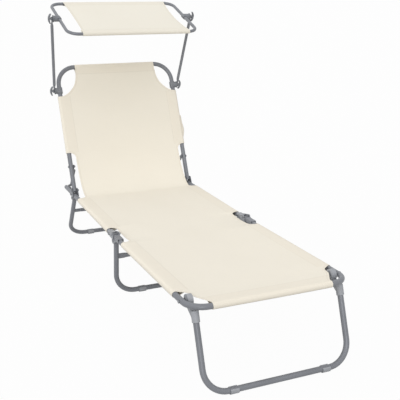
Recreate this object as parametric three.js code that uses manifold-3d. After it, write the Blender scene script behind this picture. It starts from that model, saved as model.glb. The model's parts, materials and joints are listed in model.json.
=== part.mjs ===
// Folding sun lounger with a clip-on canopy: a tubular steel frame in three hinged sections,
// three folding legs, stretched fabric and a small sunshade that swings and tilts on two arms.
// Millimetres, +Z up, +Y toward the head end, +X to the right as seen from the foot end.

import * as THREE from "three";
import { mergeVertices } from "three/addons/utils/BufferGeometryUtils.js";
import Module from "manifold-3d";

const wasm = await Module();
wasm.setup();

// Driving sizes, angles in degrees
const railSpacing = 540;
const railX = railSpacing / 2;
const railHeight = 249;
const seatLength = 594;
const backrestLength = 554;
const backrestAngle = 65.7;
const footLength = 703.5;
const footTilt = 1.15;

// Tubes
const frameTube = { radius: 9.5, wall: 1.2, sides: 12, boreSides: 6 };
const canopyTube = { radius: 6.5, wall: 1, sides: 10, boreSides: 5 };
const armTube = { radius: 6.25, wall: 1.1, sides: 10, boreSides: 6 };
const strutTube = { radius: 6, wall: 1.1, sides: 10, boreSides: 6 };
const braceTube = { radius: 8, wall: 1.2, sides: 10, boreSides: 6 };
const bendSteps = 5;

// Clearances
const seatGap = 0.3;
const turnGap = 0.3;
const fitGap = 0.4;
const overrun = 6;
const tipRelief = 0.7;

// Fabric
const cloth = { thickness: 1.2, lift: 0.3, sleeveSides: 12, freeInset: 28 };
const freeHalf = railX - cloth.freeInset;

// Fasteners
const pivotBolt = {
  radius: 3, headRadius: 6, headHeight: 3.2, crownRadius: 3.5, collarRadius: 5, nutRadius: 5.5, nutHeight: 3.5,
};
const footBolt = {
  ...pivotBolt, radius: 2.5, headRadius: 5, crownRadius: 3, collarRadius: 4.2, nutRadius: 4.6, nutHeight: 3,
};
const rivet = { ...pivotBolt, headRadius: 5.5, headHeight: 2.4, nutRadius: 4.6, nutHeight: 2.4 };
const fastenerSides = 8;
const drumSides = 14;
const nutSides = 6;

// Places of the pivots, measured from the foot pivot along the seat and from the rail's axis
const backrestPivotRise = 20.7;
const footPivotRise = frameTube.radius + footBolt.radius + seatGap;
const legPivotDrop = 20;
const rearLegPivotBehind = 29.4;
const rearLegPivotAlong = seatLength + rearLegPivotBehind;
const middleLegPivotAlong = 18.8;

// Plastic knuckles on the front leg
const knuckle = {
  lobeRadius: 18.8, thickness: 17, recessRadius: 13, recess: 2, socketWall: 2.4, socketTop: 30, socketEnd: 64,
  neckBack: 4, neckBackDrop: 18.4, neckFront: 12.5, neckFrontDrop: 14, throat: 27, throatDrop: 27.5,
  clearance: 4,
};

// Legs: the rear and middle ones stand just inside the rails, the front one inside its knuckles' clearance
const legInset = { rear: 9, middle: 8, front: frameTube.radius + knuckle.clearance + knuckle.thickness / 2 };
const rearLeg = { halfWidth: railX - legInset.rear, rake: 32.7, bendRadius: 75, braceDown: 91 };
const middleLeg = { halfWidth: railX - legInset.middle, rake: 4.4, bendRadius: 75, braceDown: 65 };
const frontLeg = {
  halfWidth: railX - legInset.front, rake: -19.96, bendRadius: 75, offset: 35.6, tubeTop: 34.8,
};
const braceEnd = { flat: 7, spread: 1.36, flatLength: 20, fade: 22 };
const frontLegPivotInset = 67;
const clip = { length: 28, wall: 2.6, soleDrop: 12, bendGap: 1, mouthAngle: 48, sides: 6 };
const clipX = frontLeg.halfWidth - frontLeg.bendRadius - clip.bendGap - clip.length / 2;

// Hinge brackets
const bracket = { thickness: 2.5, topWeb: 2.5 };
const rearBracket = {
  ...bracket, front: 44, nose: 12, pivotRadius: 12, legRadius: 14, tail: 51, tailRise: 8,
  webStart: 42, webEnd: 14,
};
const middleBracket = {
  ...bracket, rear: 76, rearRise: 7, rearDrop: 14, shoulder: 42, shoulderRise: 14, front: 25, frontRise: 18,
  chin: 34, chinDrop: 22, legDrop: 44, legHalf: 13, webFrom: 27, webTo: 70, stopFrom: 30,
};
const footHinge = { wall: 1.5, noseRadius: 5.6, length: 62, nape: 14, sideDrop: 16, webFrom: 13 };

// Adjusting racks and the struts that stand in them
const rack = {
  thickness: 3, inset: 19, notchPull: 6.2, notchRadius: 3.4, hook: 0.85, tipGap: 0.6, endRadius: 8, tail: 16,
};
const rackAngles = [12, 6, 0, -6, -12];
const strut = {
  along: 106.1, pinBehind: 126.4, pinRise: 12, rackGap: 0.7, pinRadius: 3, pinProud: 1, flat: 4,
  flatLength: 22, fade: 14,
};

// Canopy
const canopy = {
  overhang: 12, halfDepth: 164.6, bendRadius: 45, jointBelowTop: 104.1, armLength: 334.5,
  armAngle: 109.5, tiltAngle: 18.7, waistInset: 57,
};
const canopyHalf = railX + canopy.overhang;
const armEnd = { flat: 4.4, spread: 1.42, flatLength: 24, fade: 16, tip: 9 };
const lowerClamp = {
  wall: 3, height: 26, drumRadius: 13.4, flangeRadius: 14.6, flange: 3, slit: 3, studDepth: 9.5,
  armReach: 24.7,
};
const upperClamp = {
  wall: 2.8, height: 24, drumRadius: 12.4, flangeRadius: 14.6, flange: 3, slit: 2.4, studDepth: 10,
  armReach: 28.5,
};
const knob = {
  hubRadius: 7, hub: 3, neckRadius: 4.2, reach: 7, thickness: 8, halfLength: 21, outerRadius: 34,
  innerRadius: 44, width: 9, bevel: 1.2, studRadius: 3,
};

// Pocket on the right edge of the backrest
const pocket = { from: 198, length: 102, thickness: 13, frontRise: 6, backDrop: 44, corner: 12, hem: 2 };

// Colours, roughness and metalness
const steelPaint = { color: 0x8c8f96, roughness: 0.42, metalness: 0.55 };
const greyPlastic = { color: 0xafb2b8, roughness: 0.5, metalness: 0.1 };
const darkBolt = { color: 0x6d7077, roughness: 0.4, metalness: 0.7 };
const creamCloth = { color: 0xede6d6, roughness: 0.9, metalness: 0 };

const radians = THREE.MathUtils.degToRad;
const axisX = new THREE.Vector3(1, 0, 0);
const axisY = new THREE.Vector3(0, 1, 0);
const axisZ = new THREE.Vector3(0, 0, 1);
const sides = [-1, 1];
const sideName = (side) => (side < 0 ? "left" : "right");

// Solids: joining, cutting and mirroring closed meshes
function solidOf(geometry) {
  const bare = geometry.clone();
  bare.deleteAttribute("normal");
  bare.deleteAttribute("uv");
  const merged = mergeVertices(bare);
  const vertProperties = new Float32Array(merged.attributes.position.array);
  const triVerts = new Uint32Array(merged.index.array);
  return new wasm.Manifold(new wasm.Mesh({ numProp: 3, vertProperties, triVerts }));
}

function geometryOf(solid) {
  const mesh = solid.getMesh();
  const geometry = new THREE.BufferGeometry();
  geometry.setAttribute("position", new THREE.BufferAttribute(new Float32Array(mesh.vertProperties), 3));
  geometry.setIndex(new THREE.BufferAttribute(new Uint32Array(mesh.triVerts), 1));
  geometry.computeVertexNormals();
  return geometry;
}

function join(...pieces) {
  return geometryOf(pieces.map(solidOf).reduce((whole, piece) => whole.add(piece)));
}

function cut(body, ...tools) {
  return geometryOf(tools.map(solidOf).reduce((whole, tool) => whole.subtract(tool), solidOf(body)));
}

function mirrored(geometry) {
  const bare = geometry.clone();
  bare.deleteAttribute("normal");
  bare.deleteAttribute("uv");
  const twin = mergeVertices(bare);
  twin.scale(-1, 1, 1);
  const corners = Array.from(twin.index.array);
  for (let corner = 0; corner < corners.length; corner += 3) {
    [corners[corner], corners[corner + 1]] = [corners[corner + 1], corners[corner]];
  }
  twin.setIndex(corners);
  twin.computeVertexNormals();
  return twin;
}

const onSide = (geometry, side) => (side < 0 ? mirrored(geometry) : geometry);

// Sketches and simple solids
function ringShape(outer, inner, boreSides) {
  const shape = new THREE.Shape();
  shape.absarc(0, 0, outer, 0, 2 * Math.PI, false);
  const bore = [];
  for (let corner = 0; corner < boreSides; corner += 1) {
    const angle = (-2 * Math.PI * corner) / boreSides;
    bore.push(new THREE.Vector2(inner * Math.cos(angle), inner * Math.sin(angle)));
  }
  shape.holes.push(new THREE.Path(bore));
  return shape;
}

// Polygon whose corners are rounded by the radius given with each point
function filleted(points) {
  const shape = new THREE.Shape();
  points.forEach(([across, up, radius], index) => {
    const corner = new THREE.Vector2(across, up);
    const [beforeAcross, beforeUp] = points[(index + points.length - 1) % points.length];
    const [afterAcross, afterUp] = points[(index + 1) % points.length];
    const back = new THREE.Vector2(beforeAcross, beforeUp).sub(corner).setLength(radius).add(corner);
    const ahead = new THREE.Vector2(afterAcross, afterUp).sub(corner).setLength(radius).add(corner);
    if (index === 0) shape.moveTo(back.x, back.y);
    else shape.lineTo(back.x, back.y);
    if (radius > 0) shape.quadraticCurveTo(corner.x, corner.y, ahead.x, ahead.y);
  });
  shape.closePath();
  return shape;
}

// Outline mirrored across its middle from the right-hand edge alone
function symmetricShape(edgeCurves, divisions) {
  const edge = new THREE.CurvePath();
  edgeCurves.forEach((curve) => edge.add(curve));
  const right = edge.getPoints(divisions);
  const left = right.map((point) => new THREE.Vector2(-point.x, point.y)).reverse();
  return new THREE.Shape([...right, ...left]);
}

const flatPoint = (across, along) => new THREE.Vector2(across, along);
const straightEdge = (from, to) => new THREE.LineCurve(flatPoint(...from), flatPoint(...to));
const curvedEdge = (from, leave, arrive, to) =>
  new THREE.CubicBezierCurve(flatPoint(...from), flatPoint(...leave), flatPoint(...arrive), flatPoint(...to));

function extrudeX(shape, from, to, curveSegments = 6) {
  const geometry = new THREE.ExtrudeGeometry(shape, { depth: to - from, bevelEnabled: false, curveSegments });
  return geometry.applyMatrix4(new THREE.Matrix4().makeBasis(axisY, axisZ, axisX)).translate(from, 0, 0);
}

function extrudeY(shape, from, to, curveSegments = 6) {
  const geometry = new THREE.ExtrudeGeometry(shape, { depth: to - from, bevelEnabled: false, curveSegments });
  return geometry.applyMatrix4(new THREE.Matrix4().makeBasis(axisZ, axisX, axisY)).translate(0, from, 0);
}

function extrudeZ(shape, from, to, curveSegments = 6) {
  const geometry = new THREE.ExtrudeGeometry(shape, { depth: to - from, bevelEnabled: false, curveSegments });
  return geometry.translate(0, 0, from);
}

function block([x0, x1], [y0, y1], [z0, z1]) {
  const geometry = new THREE.BoxGeometry(x1 - x0, y1 - y0, z1 - z0);
  return geometry.translate((x0 + x1) / 2, (y0 + y1) / 2, (z0 + z1) / 2);
}

function rodX(radius, [from, to], y = 0, z = 0, facets = fastenerSides) {
  const geometry = new THREE.CylinderGeometry(radius, radius, to - from, facets);
  return geometry.rotateZ(-Math.PI / 2).translate((from + to) / 2, y, z);
}

function rodY(radius, [from, to], x = 0, z = 0, facets = fastenerSides) {
  return new THREE.CylinderGeometry(radius, radius, to - from, facets).translate(x, (from + to) / 2, z);
}

function rodZ(radius, [from, to], x = 0, y = 0, facets = fastenerSides) {
  const geometry = new THREE.CylinderGeometry(radius, radius, to - from, facets);
  return geometry.rotateX(Math.PI / 2).translate(x, y, (from + to) / 2);
}

// Centre line with one station at each end and a few round each bend
class StationPath extends THREE.Curve {
  constructor(points, tangents) {
    super();
    this.points = points;
    this.tangents = tangents;
  }

  getPoint(share, target = new THREE.Vector3()) {
    return target.copy(this.points[Math.round(share * (this.points.length - 1))]);
  }

  getPointAt(share, target) {
    return this.getPoint(share, target);
  }

  getTangent(share, target = new THREE.Vector3()) {
    return target.copy(this.tangents[Math.round(share * (this.tangents.length - 1))]);
  }

  getTangentAt(share, target) {
    return this.getTangent(share, target);
  }
}

function bentPath(corners, bendRadius = 0, steps = bendSteps) {
  const points = [];
  const tangents = [];
  corners.forEach((corner, index) => {
    const before = corners[index - 1];
    const after = corners[index + 1];
    const inward = before ? corner.clone().sub(before).normalize() : after.clone().sub(corner).normalize();
    const outward = after ? after.clone().sub(corner).normalize() : inward.clone();
    const turn = inward.angleTo(outward);
    if (!before || !after || bendRadius === 0) {
      points.push(corner);
      tangents.push(inward.clone().add(outward).normalize());
      return;
    }
    const toCentre = outward.clone().addScaledVector(inward, -inward.dot(outward)).normalize();
    const start = corner.clone().addScaledVector(inward, -bendRadius * Math.tan(turn / 2));
    const centre = start.addScaledVector(toCentre, bendRadius);
    for (let step = 0; step <= steps; step += 1) {
      const angle = (turn * step) / steps;
      const spoke = inward.clone().multiplyScalar(Math.sin(angle)).addScaledVector(toCentre, -Math.cos(angle));
      points.push(centre.clone().addScaledVector(spoke, bendRadius));
      tangents.push(inward.clone().multiplyScalar(Math.cos(angle)).addScaledVector(toCentre, Math.sin(angle)));
    }
  });
  return new StationPath(points, tangents);
}

function tubeAlong(path, tube) {
  const section = ringShape(tube.radius, tube.radius - tube.wall, tube.boreSides);
  const settings = {
    steps: path.points.length - 1, extrudePath: path, bevelEnabled: false, curveSegments: tube.sides / 2,
  };
  return new THREE.ExtrudeGeometry(section, settings);
}

// Presses one end of a straight tube flat across X: full effect up to flatEnd, none beyond fadeEnd
function pressFlat(geometry, tube, { middleX, flat, spread, flatEnd, fadeEnd }) {
  const position = geometry.attributes.position;
  const halfWall = tube.radius - tube.wall / 2;
  const direction = Math.sign(fadeEnd - flatEnd);
  for (let index = 0; index < position.count; index += 1) {
    const along = direction * position.getY(index);
    const press = 1 - THREE.MathUtils.smoothstep(along, direction * flatEnd, direction * fadeEnd);
    if (press > 0) {
      const outX = position.getX(index) - middleX;
      const outZ = position.getZ(index);
      const inner = Math.hypot(outX, outZ) < halfWall;
      const ownRadius = inner ? tube.radius - tube.wall : tube.radius;
      const thin = (inner ? flat / 2 - tube.wall : flat / 2) / ownRadius;
      const wide = inner ? (tube.radius * spread - tube.wall) / ownRadius : spread;
      position.setX(index, middleX + outX * THREE.MathUtils.lerp(1, thin, press));
      position.setZ(index, outZ * THREE.MathUtils.lerp(1, wide, press));
    }
  }
  return geometry;
}

// Tool that rounds the end of a bar lying along Y to a half disc about the given centre
function endRounder([x0, x1], y, z, radius, outward) {
  const reach = radius + overrun;
  const beyond = outward > 0 ? [y, y + reach] : [y - reach, y];
  const kept = rodX(radius, [x0 - overrun, x1 + overrun], y, z, frameTube.sides);
  return cut(block([x0, x1], beyond, [z - reach, z + reach]), kept);
}

// Turned bolt along X with a domed head outside, an optional spacer collar and a nut or upset end inside
function boltX(spec, outerFace, innerFace, y, z, collar = null, hex = true) {
  const headFace = outerFace + seatGap;
  const nutFace = innerFace - seatGap;
  const shankEnd = nutFace - spec.nutHeight - spec.headHeight / 2;
  const profile = [
    [0, shankEnd], [spec.radius, shankEnd],
    [spec.radius, headFace], [spec.headRadius, headFace], [spec.headRadius, headFace + spec.headHeight / 2],
    [spec.crownRadius, headFace + spec.headHeight], [0, headFace + spec.headHeight],
  ].map(([radius, along]) => new THREE.Vector2(radius, along));
  const body = new THREE.LatheGeometry(profile, fastenerSides).rotateZ(-Math.PI / 2).translate(0, y, z);
  const nut = rodX(spec.nutRadius, [nutFace - spec.nutHeight, nutFace], y, z, hex ? nutSides : fastenerSides);
  const pieces = [body, nut];
  if (collar) pieces.push(rodX(spec.collarRadius, collar, y, z));
  return join(...pieces);
}

// Fabric tunnel round a straight run of tube
function tunnelShape(radius) {
  return ringShape(radius + fitGap + cloth.thickness, radius + fitGap, cloth.sleeveSides);
}

function tunnelAlongY(radius, x, [from, to], z) {
  return extrudeY(tunnelShape(radius), from, to, cloth.sleeveSides / 2).translate(x, 0, z);
}

function tunnelAlongX(radius, [from, to], y, z) {
  return extrudeX(tunnelShape(radius), from, to, cloth.sleeveSides / 2).translate(0, y, z);
}

// Scene graph helpers
const lounger = new THREE.Group();

function turnedGroup(parent, y, z, angle) {
  const group = new THREE.Group();
  group.position.set(0, y, z);
  group.rotation.x = radians(angle);
  parent.add(group);
  return group;
}

function place(parent, name, geometry, finish) {
  const mesh = new THREE.Mesh(geometry, new THREE.MeshStandardMaterial(finish));
  mesh.name = name;
  parent.add(mesh);
  return mesh;
}

const seat = turnedGroup(lounger, 0, railHeight, 0);
const backrest = turnedGroup(seat, seatLength, backrestPivotRise, backrestAngle);
const foot = turnedGroup(seat, 0, footPivotRise, -footTilt);

// Shared measures of the frame
const railInside = railX - frameTube.radius;
const railOutside = railX + frameTube.radius;
const clothLow = frameTube.radius + cloth.lift;
const clothHigh = clothLow + cloth.thickness;
const clothMid = (clothLow + clothHigh) / 2;
const cosBack = Math.cos(radians(backrestAngle));
const sinBack = Math.sin(radians(backrestAngle));

// Cheek faces of the two hinge brackets, wide enough for the legs and the foot hinge
const rearInner = rearLeg.halfWidth - frameTube.radius - seatGap;
const rearOuter = railOutside + seatGap;
const middleInner = middleLeg.halfWidth - frameTube.radius - seatGap;
const middleOuter = railOutside + seatGap + footHinge.wall + seatGap;

// Seat rails
const railEnds = [seatGap, seatLength + rearBracket.tail];
const rivetHole = rivet.radius + turnGap;
const rearRivetAlong = (seatLength + rearLegPivotAlong) / 2;
const middleRivetAlong = (middleBracket.webFrom + middleBracket.webTo) / 2;

function seatRail() {
  const path = bentPath(railEnds.map((along) => new THREE.Vector3(railX, along, 0)));
  const holes = [rearRivetAlong, middleRivetAlong].map((along) =>
    rodX(rivetHole, [railInside - overrun, railOutside + overrun], along, 0));
  return cut(tubeAlong(path, frameTube), ...holes);
}

// Rear bracket: a folded steel channel that carries the backrest pivot and the rear leg pivot
function rearBracketBody() {
  const { front, nose, pivotRadius, legRadius, tail, tailRise, thickness, webStart, webEnd } = rearBracket;
  const legAlong = rearLegPivotAlong;
  const outline = filleted([
    [seatLength - front, -nose, nose / 2],
    [legAlong - legRadius, -legPivotDrop - legRadius, legRadius / 2],
    [legAlong + legRadius, -legPivotDrop - legRadius, legRadius],
    [seatLength + tail, -nose, nose / 2],
    [seatLength + tail, tailRise, nose / 2],
    [seatLength + pivotRadius, backrestPivotRise + pivotRadius, pivotRadius],
    [seatLength - pivotRadius, backrestPivotRise + pivotRadius, pivotRadius],
    [seatLength - front, nose / 2, nose / 2],
  ]);
  const body = extrudeX(outline, rearInner - thickness, rearOuter + thickness, 2);
  const webTop = -frameTube.radius - seatGap;
  const webLow = webTop - thickness;
  const inside = [rearInner, rearOuter];
  const across = [rearInner - thickness - overrun, rearOuter + thickness + overrun];
  const farBelow = -legPivotDrop - legRadius - overrun;
  const farAbove = backrestPivotRise + pivotRadius + overrun;
  const before = seatLength - front - overrun;
  const behind = seatLength + tail + overrun;
  const channelAbove = block(inside, [before, behind], [webTop, farAbove]);
  const channelBehind = block(inside, [seatLength - webEnd, behind], [farBelow, farAbove]);
  const channelBefore = block(inside, [before, seatLength - webStart], [farBelow, farAbove]);
  const channelBelow = block(inside, [before, behind], [farBelow, webLow]);
  const holes = [
    rodX(pivotBolt.radius + turnGap, across, seatLength, backrestPivotRise),
    rodX(pivotBolt.radius + turnGap, across, legAlong, -legPivotDrop),
    rodX(rivetHole, [rearOuter - overrun, rearOuter + thickness + overrun], rearRivetAlong, 0),
  ];
  return cut(body, channelAbove, channelBehind, channelBefore, channelBelow, ...holes);
}

// Middle bracket: a channel saddled over the seat rail, open in front for the foot section to fold up
function middleBracketBody() {
  const size = middleBracket;
  const legAlong = middleLegPivotAlong;
  const outline = filleted([
    [-size.chin, -size.chinDrop, size.legHalf / 2],
    [legAlong - size.legHalf, -size.legDrop, size.legHalf / 2],
    [legAlong + size.legHalf, -size.legDrop, size.legHalf / 2],
    [size.rear, -size.rearDrop, size.rearRise],
    [size.rear, size.rearRise, size.rearRise],
    [size.shoulder, size.shoulderRise, size.rearRise],
    [-size.front, size.frontRise, size.rearRise],
  ]);
  const body = extrudeX(outline, middleInner - size.thickness, middleOuter + size.thickness, 2);
  const inside = [middleInner, middleOuter];
  const across = [middleInner - size.thickness - overrun, middleOuter + size.thickness + overrun];
  const webLow = frameTube.radius + seatGap;
  const farBelow = -size.legDrop - overrun;
  const farAbove = size.frontRise + overrun;
  const behind = size.rear + overrun;
  const before = -size.chin - overrun;
  const rakeRun = Math.tan(radians(middleLeg.rake)) * (size.legDrop - legPivotDrop);
  const stopFace = legAlong + (frameTube.radius + seatGap) / Math.cos(radians(middleLeg.rake)) + rakeRun;
  const channelMiddle = block(inside, [before, behind], [-size.stopFrom, webLow]);
  const channelFront = block(inside, [before, size.webFrom], [-size.stopFrom, farAbove]);
  const channelBehind = block(inside, [size.webTo, behind], [-size.stopFrom, farAbove]);
  const channelTop = block(inside, [before, behind], [webLow + size.topWeb, farAbove]);
  const channelLeg = block(inside, [before, stopFace], [farBelow, -size.stopFrom + overrun]);
  const channelUnder = block(inside, [stopFace + size.thickness, behind], [farBelow, -size.stopFrom + overrun]);
  const holes = [
    rodX(footBolt.radius + turnGap, across, 0, footPivotRise),
    rodX(pivotBolt.radius + turnGap, across, legAlong, -legPivotDrop),
    rodX(rivetHole, [middleOuter - overrun, middleOuter + size.thickness + overrun], middleRivetAlong, 0),
  ];
  return cut(body, channelMiddle, channelFront, channelBehind, channelTop, channelLeg, channelUnder, ...holes);
}

// Path of the strut's cross pin as the backrest turns, from which the rack is laid out
const strutFoot = new THREE.Vector2(strut.pinBehind, strut.pinRise - backrestPivotRise);
const strutHead = new THREE.Vector2(strut.along * cosBack, strut.along * sinBack);
const strutReach = strutFoot.clone().sub(strutHead);
const strutRatio = -(1 + strutHead.x / strutReach.x);

function pinPlace(backrestTurn) {
  const head = strutHead.clone().rotateAround(new THREE.Vector2(), radians(backrestTurn));
  const reach = strutReach.clone().rotateAround(new THREE.Vector2(), radians(backrestTurn * (1 + strutRatio)));
  return head.add(reach).add(new THREE.Vector2(seatLength, backrestPivotRise));
}

// Rack plate: a flat bar with hooked notches whose tips follow the pin's path just below it
function rackPlate() {
  const outside = railInside - seatGap;
  const tipDrop = strut.pinRadius + rack.tipGap;
  const places = rackAngles.map(pinPlace);
  const tips = places.slice(1).map((place, index) => place.clone().add(places[index]).multiplyScalar(0.5));
  const pitch = places[1].x - places[0].x;
  const topAt = (place) => place.y - tipDrop;
  const start = seatLength - rack.inset;
  const end = places[places.length - 1].x + rack.tail;
  const low = -frameTube.radius + seatGap;
  const shape = new THREE.Shape();
  shape.moveTo(start, low);
  shape.lineTo(end - rack.endRadius, low);
  shape.quadraticCurveTo(end, low, end, topAt(places[places.length - 1]) - rack.endRadius);
  const teeth = [...places].reverse();
  teeth.forEach((place, index) => {
    const rearTip = place.x + rack.notchRadius;
    const top = topAt(place);
    shape.lineTo(rearTip + (index === 0 ? rack.endRadius / 2 : 0), top - (index === 0 ? rack.tipGap : 0));
    shape.lineTo(rearTip, top);
    const notchMiddle = top - rack.notchPull + rack.notchRadius;
    shape.lineTo(rearTip, notchMiddle);
    shape.absarc(place.x, notchMiddle, rack.notchRadius, 0, -Math.PI * rack.hook, true);
    shape.lineTo(place.x - pitch / 2, top);
  });
  shape.lineTo(start + rack.endRadius, topAt(tips[0]));
  shape.lineTo(start, topAt(tips[0]) - rack.endRadius / 2);
  shape.closePath();
  const across = [outside - rack.thickness, outside];
  return cut(extrudeX(shape, ...across, 4), rodX(rivetHole, [across[0] - overrun, railX], rearRivetAlong, 0));
}

// Seat cloth: flat between the rails, then curving up behind the sitter's hips
const hipBend = { radius: 62, gap: 1, steps: 8 };
const clothDivisions = 5;
const hipTangent = hipBend.radius * Math.tan(radians(backrestAngle) / 2);
const hipAlong = (clothMid * (1 - cosBack) - backrestPivotRise) / sinBack;
const hipStart = seatLength + hipAlong * cosBack - clothMid * sinBack - hipTangent;
const hipEnd = hipAlong + hipTangent;
const seatCloth = {
  frontEdge: 7, scallopEnd: 80, sleeveStart: 101, sleeveShort: 93.5, narrowShort: 59, lead: 13,
};

function seatClothBody() {
  const { frontEdge, scallopEnd, sleeveStart, lead } = seatCloth;
  const sleeveEnd = seatLength - seatCloth.sleeveShort;
  const narrowFrom = seatLength - seatCloth.narrowShort;
  const free = freeHalf;
  const outline = symmetricShape([
    straightEdge([free, frontEdge], [free, scallopEnd]),
    curvedEdge(
      [free, scallopEnd], [free, scallopEnd + lead], [railX - lead, sleeveStart], [railX, sleeveStart],
    ),
    straightEdge([railX, sleeveStart], [railX, sleeveEnd]),
    curvedEdge([railX, sleeveEnd], [railX - lead, sleeveEnd], [free, narrowFrom - lead], [free, narrowFrom]),
    straightEdge([free, narrowFrom], [free, hipStart + cloth.thickness]),
  ], clothDivisions);
  const panel = extrudeZ(outline, clothLow, clothHigh);
  const bend = new THREE.Shape();
  const centreUp = clothMid + hipBend.radius;
  const bendEnd = radians(backrestAngle) - Math.PI / 2;
  bend.absarc(hipStart, centreUp, hipBend.radius + cloth.thickness / 2, -Math.PI / 2, bendEnd, false);
  bend.absarc(hipStart, centreUp, hipBend.radius - cloth.thickness / 2, bendEnd, -Math.PI / 2, true);
  const curve = extrudeX(bend, -free, free, hipBend.steps / 2);
  const tunnels = sides.map((side) =>
    tunnelAlongY(frameTube.radius, side * railX, [sleeveStart, sleeveEnd], 0));
  return join(panel, curve, ...tunnels);
}

// Backrest: a bent tube, its cloth, a side pocket and the lower canopy clamps
const backrestInset = 1.7;
const backrestX = railX - backrestInset;
const backrestInside = backrestX - frameTube.radius;
const backrestOutside = backrestX + frameTube.radius;
const backrestBend = 80;
const endRadius = frameTube.radius + tipRelief;

function backrestTubeBody() {
  const path = bentPath([
    new THREE.Vector3(-backrestX, -endRadius, 0), new THREE.Vector3(-backrestX, backrestLength, 0),
    new THREE.Vector3(backrestX, backrestLength, 0), new THREE.Vector3(backrestX, -endRadius, 0),
  ], backrestBend);
  const across = [-backrestOutside - overrun, backrestOutside + overrun];
  return cut(
    tubeAlong(path, frameTube),
    rodX(pivotBolt.radius + turnGap, across),
    rodX(pivotBolt.radius + turnGap, across, strut.along),
    endRounder(across, 0, 0, endRadius, -1),
  );
}

const backCloth = {
  scallopEnd: 145, sleeveStart: 166, sleeveShort: 133, elbowInset: 66.3, elbowBelowTop: 85, hemInset: 1.5,
  lead: 20,
};

function backrestClothBody() {
  const { scallopEnd, sleeveStart, lead } = backCloth;
  const sleeveEnd = backrestLength - backCloth.sleeveShort;
  const elbowAcross = backrestX - backCloth.elbowInset;
  const elbowAlong = backrestLength - backCloth.elbowBelowTop;
  const topHalf = backrestX - backrestBend - backCloth.hemInset;
  const free = freeHalf;
  const bottom = hipEnd + hipBend.gap;
  const outline = symmetricShape([
    straightEdge([free, bottom], [free, scallopEnd]),
    curvedEdge(
      [free, scallopEnd], [free, scallopEnd + lead / 2],
      [backrestX - lead / 2, sleeveStart], [backrestX, sleeveStart],
    ),
    straightEdge([backrestX, sleeveStart], [backrestX, sleeveEnd]),
    curvedEdge(
      [backrestX, sleeveEnd], [backrestX - lead, sleeveEnd],
      [elbowAcross + lead, elbowAlong - lead * 1.5], [elbowAcross, elbowAlong],
    ),
    curvedEdge(
      [elbowAcross, elbowAlong], [elbowAcross - lead / 2, elbowAlong + lead],
      [topHalf, elbowAlong + lead * 2], [topHalf, backrestLength],
    ),
  ], clothDivisions);
  const panel = extrudeZ(outline, clothLow, clothHigh);
  const tunnels = sides.map((side) =>
    tunnelAlongY(frameTube.radius, side * backrestX, [sleeveStart, sleeveEnd], 0));
  return join(panel, ...tunnels, tunnelAlongX(frameTube.radius, [-topHalf, topHalf], backrestLength, 0));
}

// Pocket: a flat pouch with its mouth toward the head end
function sidePocketBody() {
  const inner = backrestX + frameTube.radius + fitGap + cloth.thickness + seatGap;
  const outer = inner + pocket.thickness;
  const end = pocket.from + pocket.length;
  const outlineOf = (inset, mouth) => filleted([
    [pocket.from + inset, -pocket.backDrop + inset, pocket.corner - inset],
    [end + mouth, -pocket.backDrop + inset, 0],
    [end + mouth, pocket.frontRise - inset, 0],
    [pocket.from + inset, pocket.frontRise - inset, pocket.corner - inset],
  ]);
  const bag = extrudeX(outlineOf(0, 0), inner, outer, 4);
  const hollow = extrudeX(outlineOf(pocket.hem, overrun), inner + cloth.thickness, outer - cloth.thickness, 4);
  return cut(bag, hollow);
}

// Lower clamp: a split plastic ring on the backrest tube with a drum that the arm turns against
const armHalfFlat = armEnd.flat / 2;

function clampBody(spec, tube, tubeX, drumFace) {
  const bore = tube.radius + seatGap;
  const slitFrom = tubeX - bore - spec.wall - overrun;
  const ring = rodY(bore + spec.wall, [-spec.height / 2, spec.height / 2], tubeX, 0, drumSides);
  const drum = rodX(spec.drumRadius, [tubeX, drumFace], 0, 0, drumSides);
  const flange = rodX(spec.flangeRadius, [drumFace - spec.flange, drumFace], 0, 0, drumSides);
  return cut(
    join(ring, drum, flange),
    rodY(bore, [-spec.height, spec.height], tubeX, 0, drumSides),
    rodX(knob.studRadius + turnGap, [drumFace - spec.studDepth, drumFace + overrun]),
    block([slitFrom, tubeX], [-spec.height, spec.height], [-spec.slit / 2, spec.slit / 2]),
  );
}

const lowerArmX = backrestX + lowerClamp.armReach;
const upperArmX = canopyHalf + upperClamp.armReach;
const lowerFace = lowerArmX - armHalfFlat - seatGap;
const upperFace = upperArmX - armHalfFlat - seatGap;

// Struts: tubes pressed flat at the top, with a cross pin that drops into the rack
const strutLength = strutReach.length();
const strutAngle = THREE.MathUtils.radToDeg(Math.atan2(strutReach.y, strutReach.x));
const strutFlatX = backrestInside - 2 * seatGap - strut.flat / 2;
const strutX = railInside - seatGap - rack.thickness - strut.rackGap - strutTube.radius;

function strutBody() {
  const tip = strutTube.radius * armEnd.spread;
  const flatEnd = strut.flatLength - tip;
  const fadeEnd = flatEnd + strut.fade;
  const path = bentPath([
    new THREE.Vector3(strutFlatX, -tip, 0), new THREE.Vector3(strutFlatX, flatEnd, 0),
    new THREE.Vector3((strutFlatX + strutX) / 2, (flatEnd + fadeEnd) / 2, 0),
    new THREE.Vector3(strutX, fadeEnd, 0),
    new THREE.Vector3(strutX, strutLength + strutTube.radius, 0),
  ]);
  const pressing = { middleX: strutFlatX, flat: strut.flat, spread: armEnd.spread, flatEnd, fadeEnd };
  const bar = pressFlat(tubeAlong(path, strutTube), strutTube, pressing);
  const across = [strutX - strutTube.radius * 2, backrestOutside];
  const pinOuter = railInside - seatGap + strut.pinProud;
  const body = cut(
    bar,
    rodX(pivotBolt.radius + turnGap, across),
    endRounder(across, 0, 0, tip, -1),
    endRounder(across, strutLength, 0, strutTube.radius, 1),
  );
  const pinInner = strutX - strutTube.radius - strut.pinProud;
  return join(body, rodX(strut.pinRadius, [pinInner, pinOuter], strutLength));
}

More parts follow.
